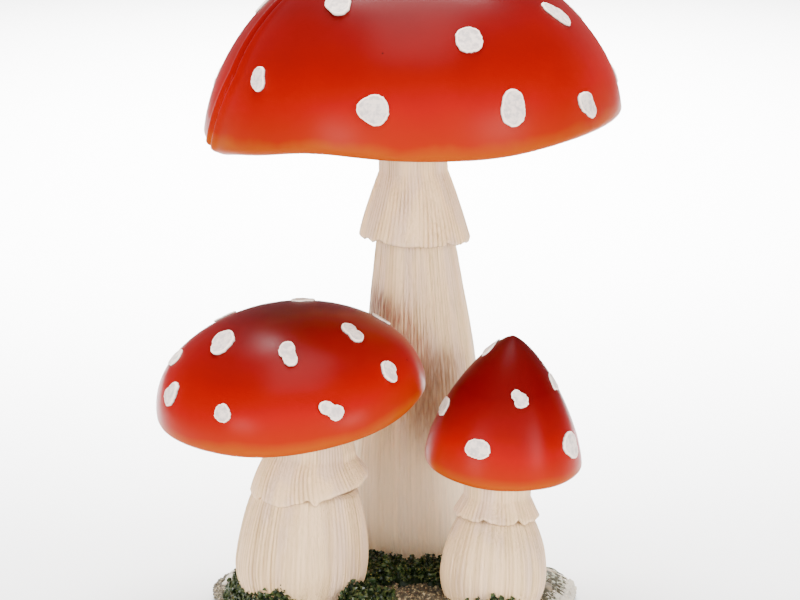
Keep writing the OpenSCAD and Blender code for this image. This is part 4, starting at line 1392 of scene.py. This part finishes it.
class ORNAMENT_OT_stage(Operator):
    """Sets up the pale floor, the studio lights and the camera"""
    bl_idname = "ornament.stage"
    bl_label = "Stage"

    def execute(self, context):
        scene = bpy.context.scene
        light = scene.ornament_lights
        f = Finish("pale_floor", (0.86, 0.86, 0.86), roughness=0.9, specular_ior_level=0.1)
        f.layer(f.mottle(400, 1), (0.88, 0.88, 0.88))
        corners = [(x * FLOOR, y * FLOOR, 0) for x, y in ((-1, -1), (1, -1), (1, 1), (-1, 1))]
        mesh_object("floor", corners, [(0, 1, 2, 3)], f.material)

        scene.world = bpy.data.worlds.new("studio")
        scene.world.use_nodes = True
        room = scene.world.node_tree.nodes["Background"]
        room.inputs["Color"].default_value = (1, 1, 1, 1)
        room.inputs["Strength"].default_value = light.ambient
        for name, where in LAMPS.items():
            softbox(name, getattr(light, name), *where)

        lens = bpy.data.cameras.new("camera")
        lens.sensor_width, lens.lens = SENSOR, LENS
        lens.clip_start, lens.clip_end = 0.05, 50
        camera = in_scene("camera", lens)
        down = math.radians(LOOK_DOWN)
        back = Vector((0, -math.cos(down), math.sin(down)))
        camera.location = Vector(AIM) + DISTANCE * back
        camera.rotation_euler = Euler((math.pi / 2 - down, 0, 0))
        scene.camera = camera
        return {"FINISHED"}


STEPS = (ORNAMENT_OT_soil, ORNAMENT_OT_moss, ORNAMENT_OT_grass, ORNAMENT_OT_stems,
         ORNAMENT_OT_skirts, ORNAMENT_OT_gills, ORNAMENT_OT_caps, ORNAMENT_OT_spots,
         ORNAMENT_OT_hidden, ORNAMENT_OT_stage)


class ORNAMENT_PT_panel(Panel):
    """Lists the steps of the ornament"""
    bl_idname = "ORNAMENT_PT_panel"
    bl_label = "Mushroom cluster"
    bl_space_type = "VIEW_3D"
    bl_region_type = "UI"
    bl_category = "Ornament"

    def draw(self, context):
        for group in GROUPS:
            owner = getattr(context.scene, group)
            box = self.layout.box()
            for key in owner.__annotations__:
                box.prop(owner, key)
        for step in STEPS:
            self.layout.operator(step.bl_idname)


GROUPS = {"ornament_tall": TallToadstool, "ornament_left": LeftToadstool,
          "ornament_right": RightToadstool, "ornament_base": BaseSizes, "ornament_paints": Paints,
          "ornament_lights": Lights}


def register():
    for group, kind in GROUPS.items():
        bpy.utils.register_class(kind)
        setattr(bpy.types.Scene, group, PointerProperty(type=kind))
    for kind in (*STEPS, ORNAMENT_PT_panel):
        bpy.utils.register_class(kind)


def unregister():
    for kind in (ORNAMENT_PT_panel, *reversed(STEPS)):
        bpy.utils.unregister_class(kind)
    for group, kind in reversed(list(GROUPS.items())):
        delattr(bpy.types.Scene, group)
        bpy.utils.unregister_class(kind)


def main():
    register()
    for step in STEPS:
        family, name = step.bl_idname.split(".")
        getattr(getattr(bpy.ops, family), name)()


if __name__ == "__main__":
    main()
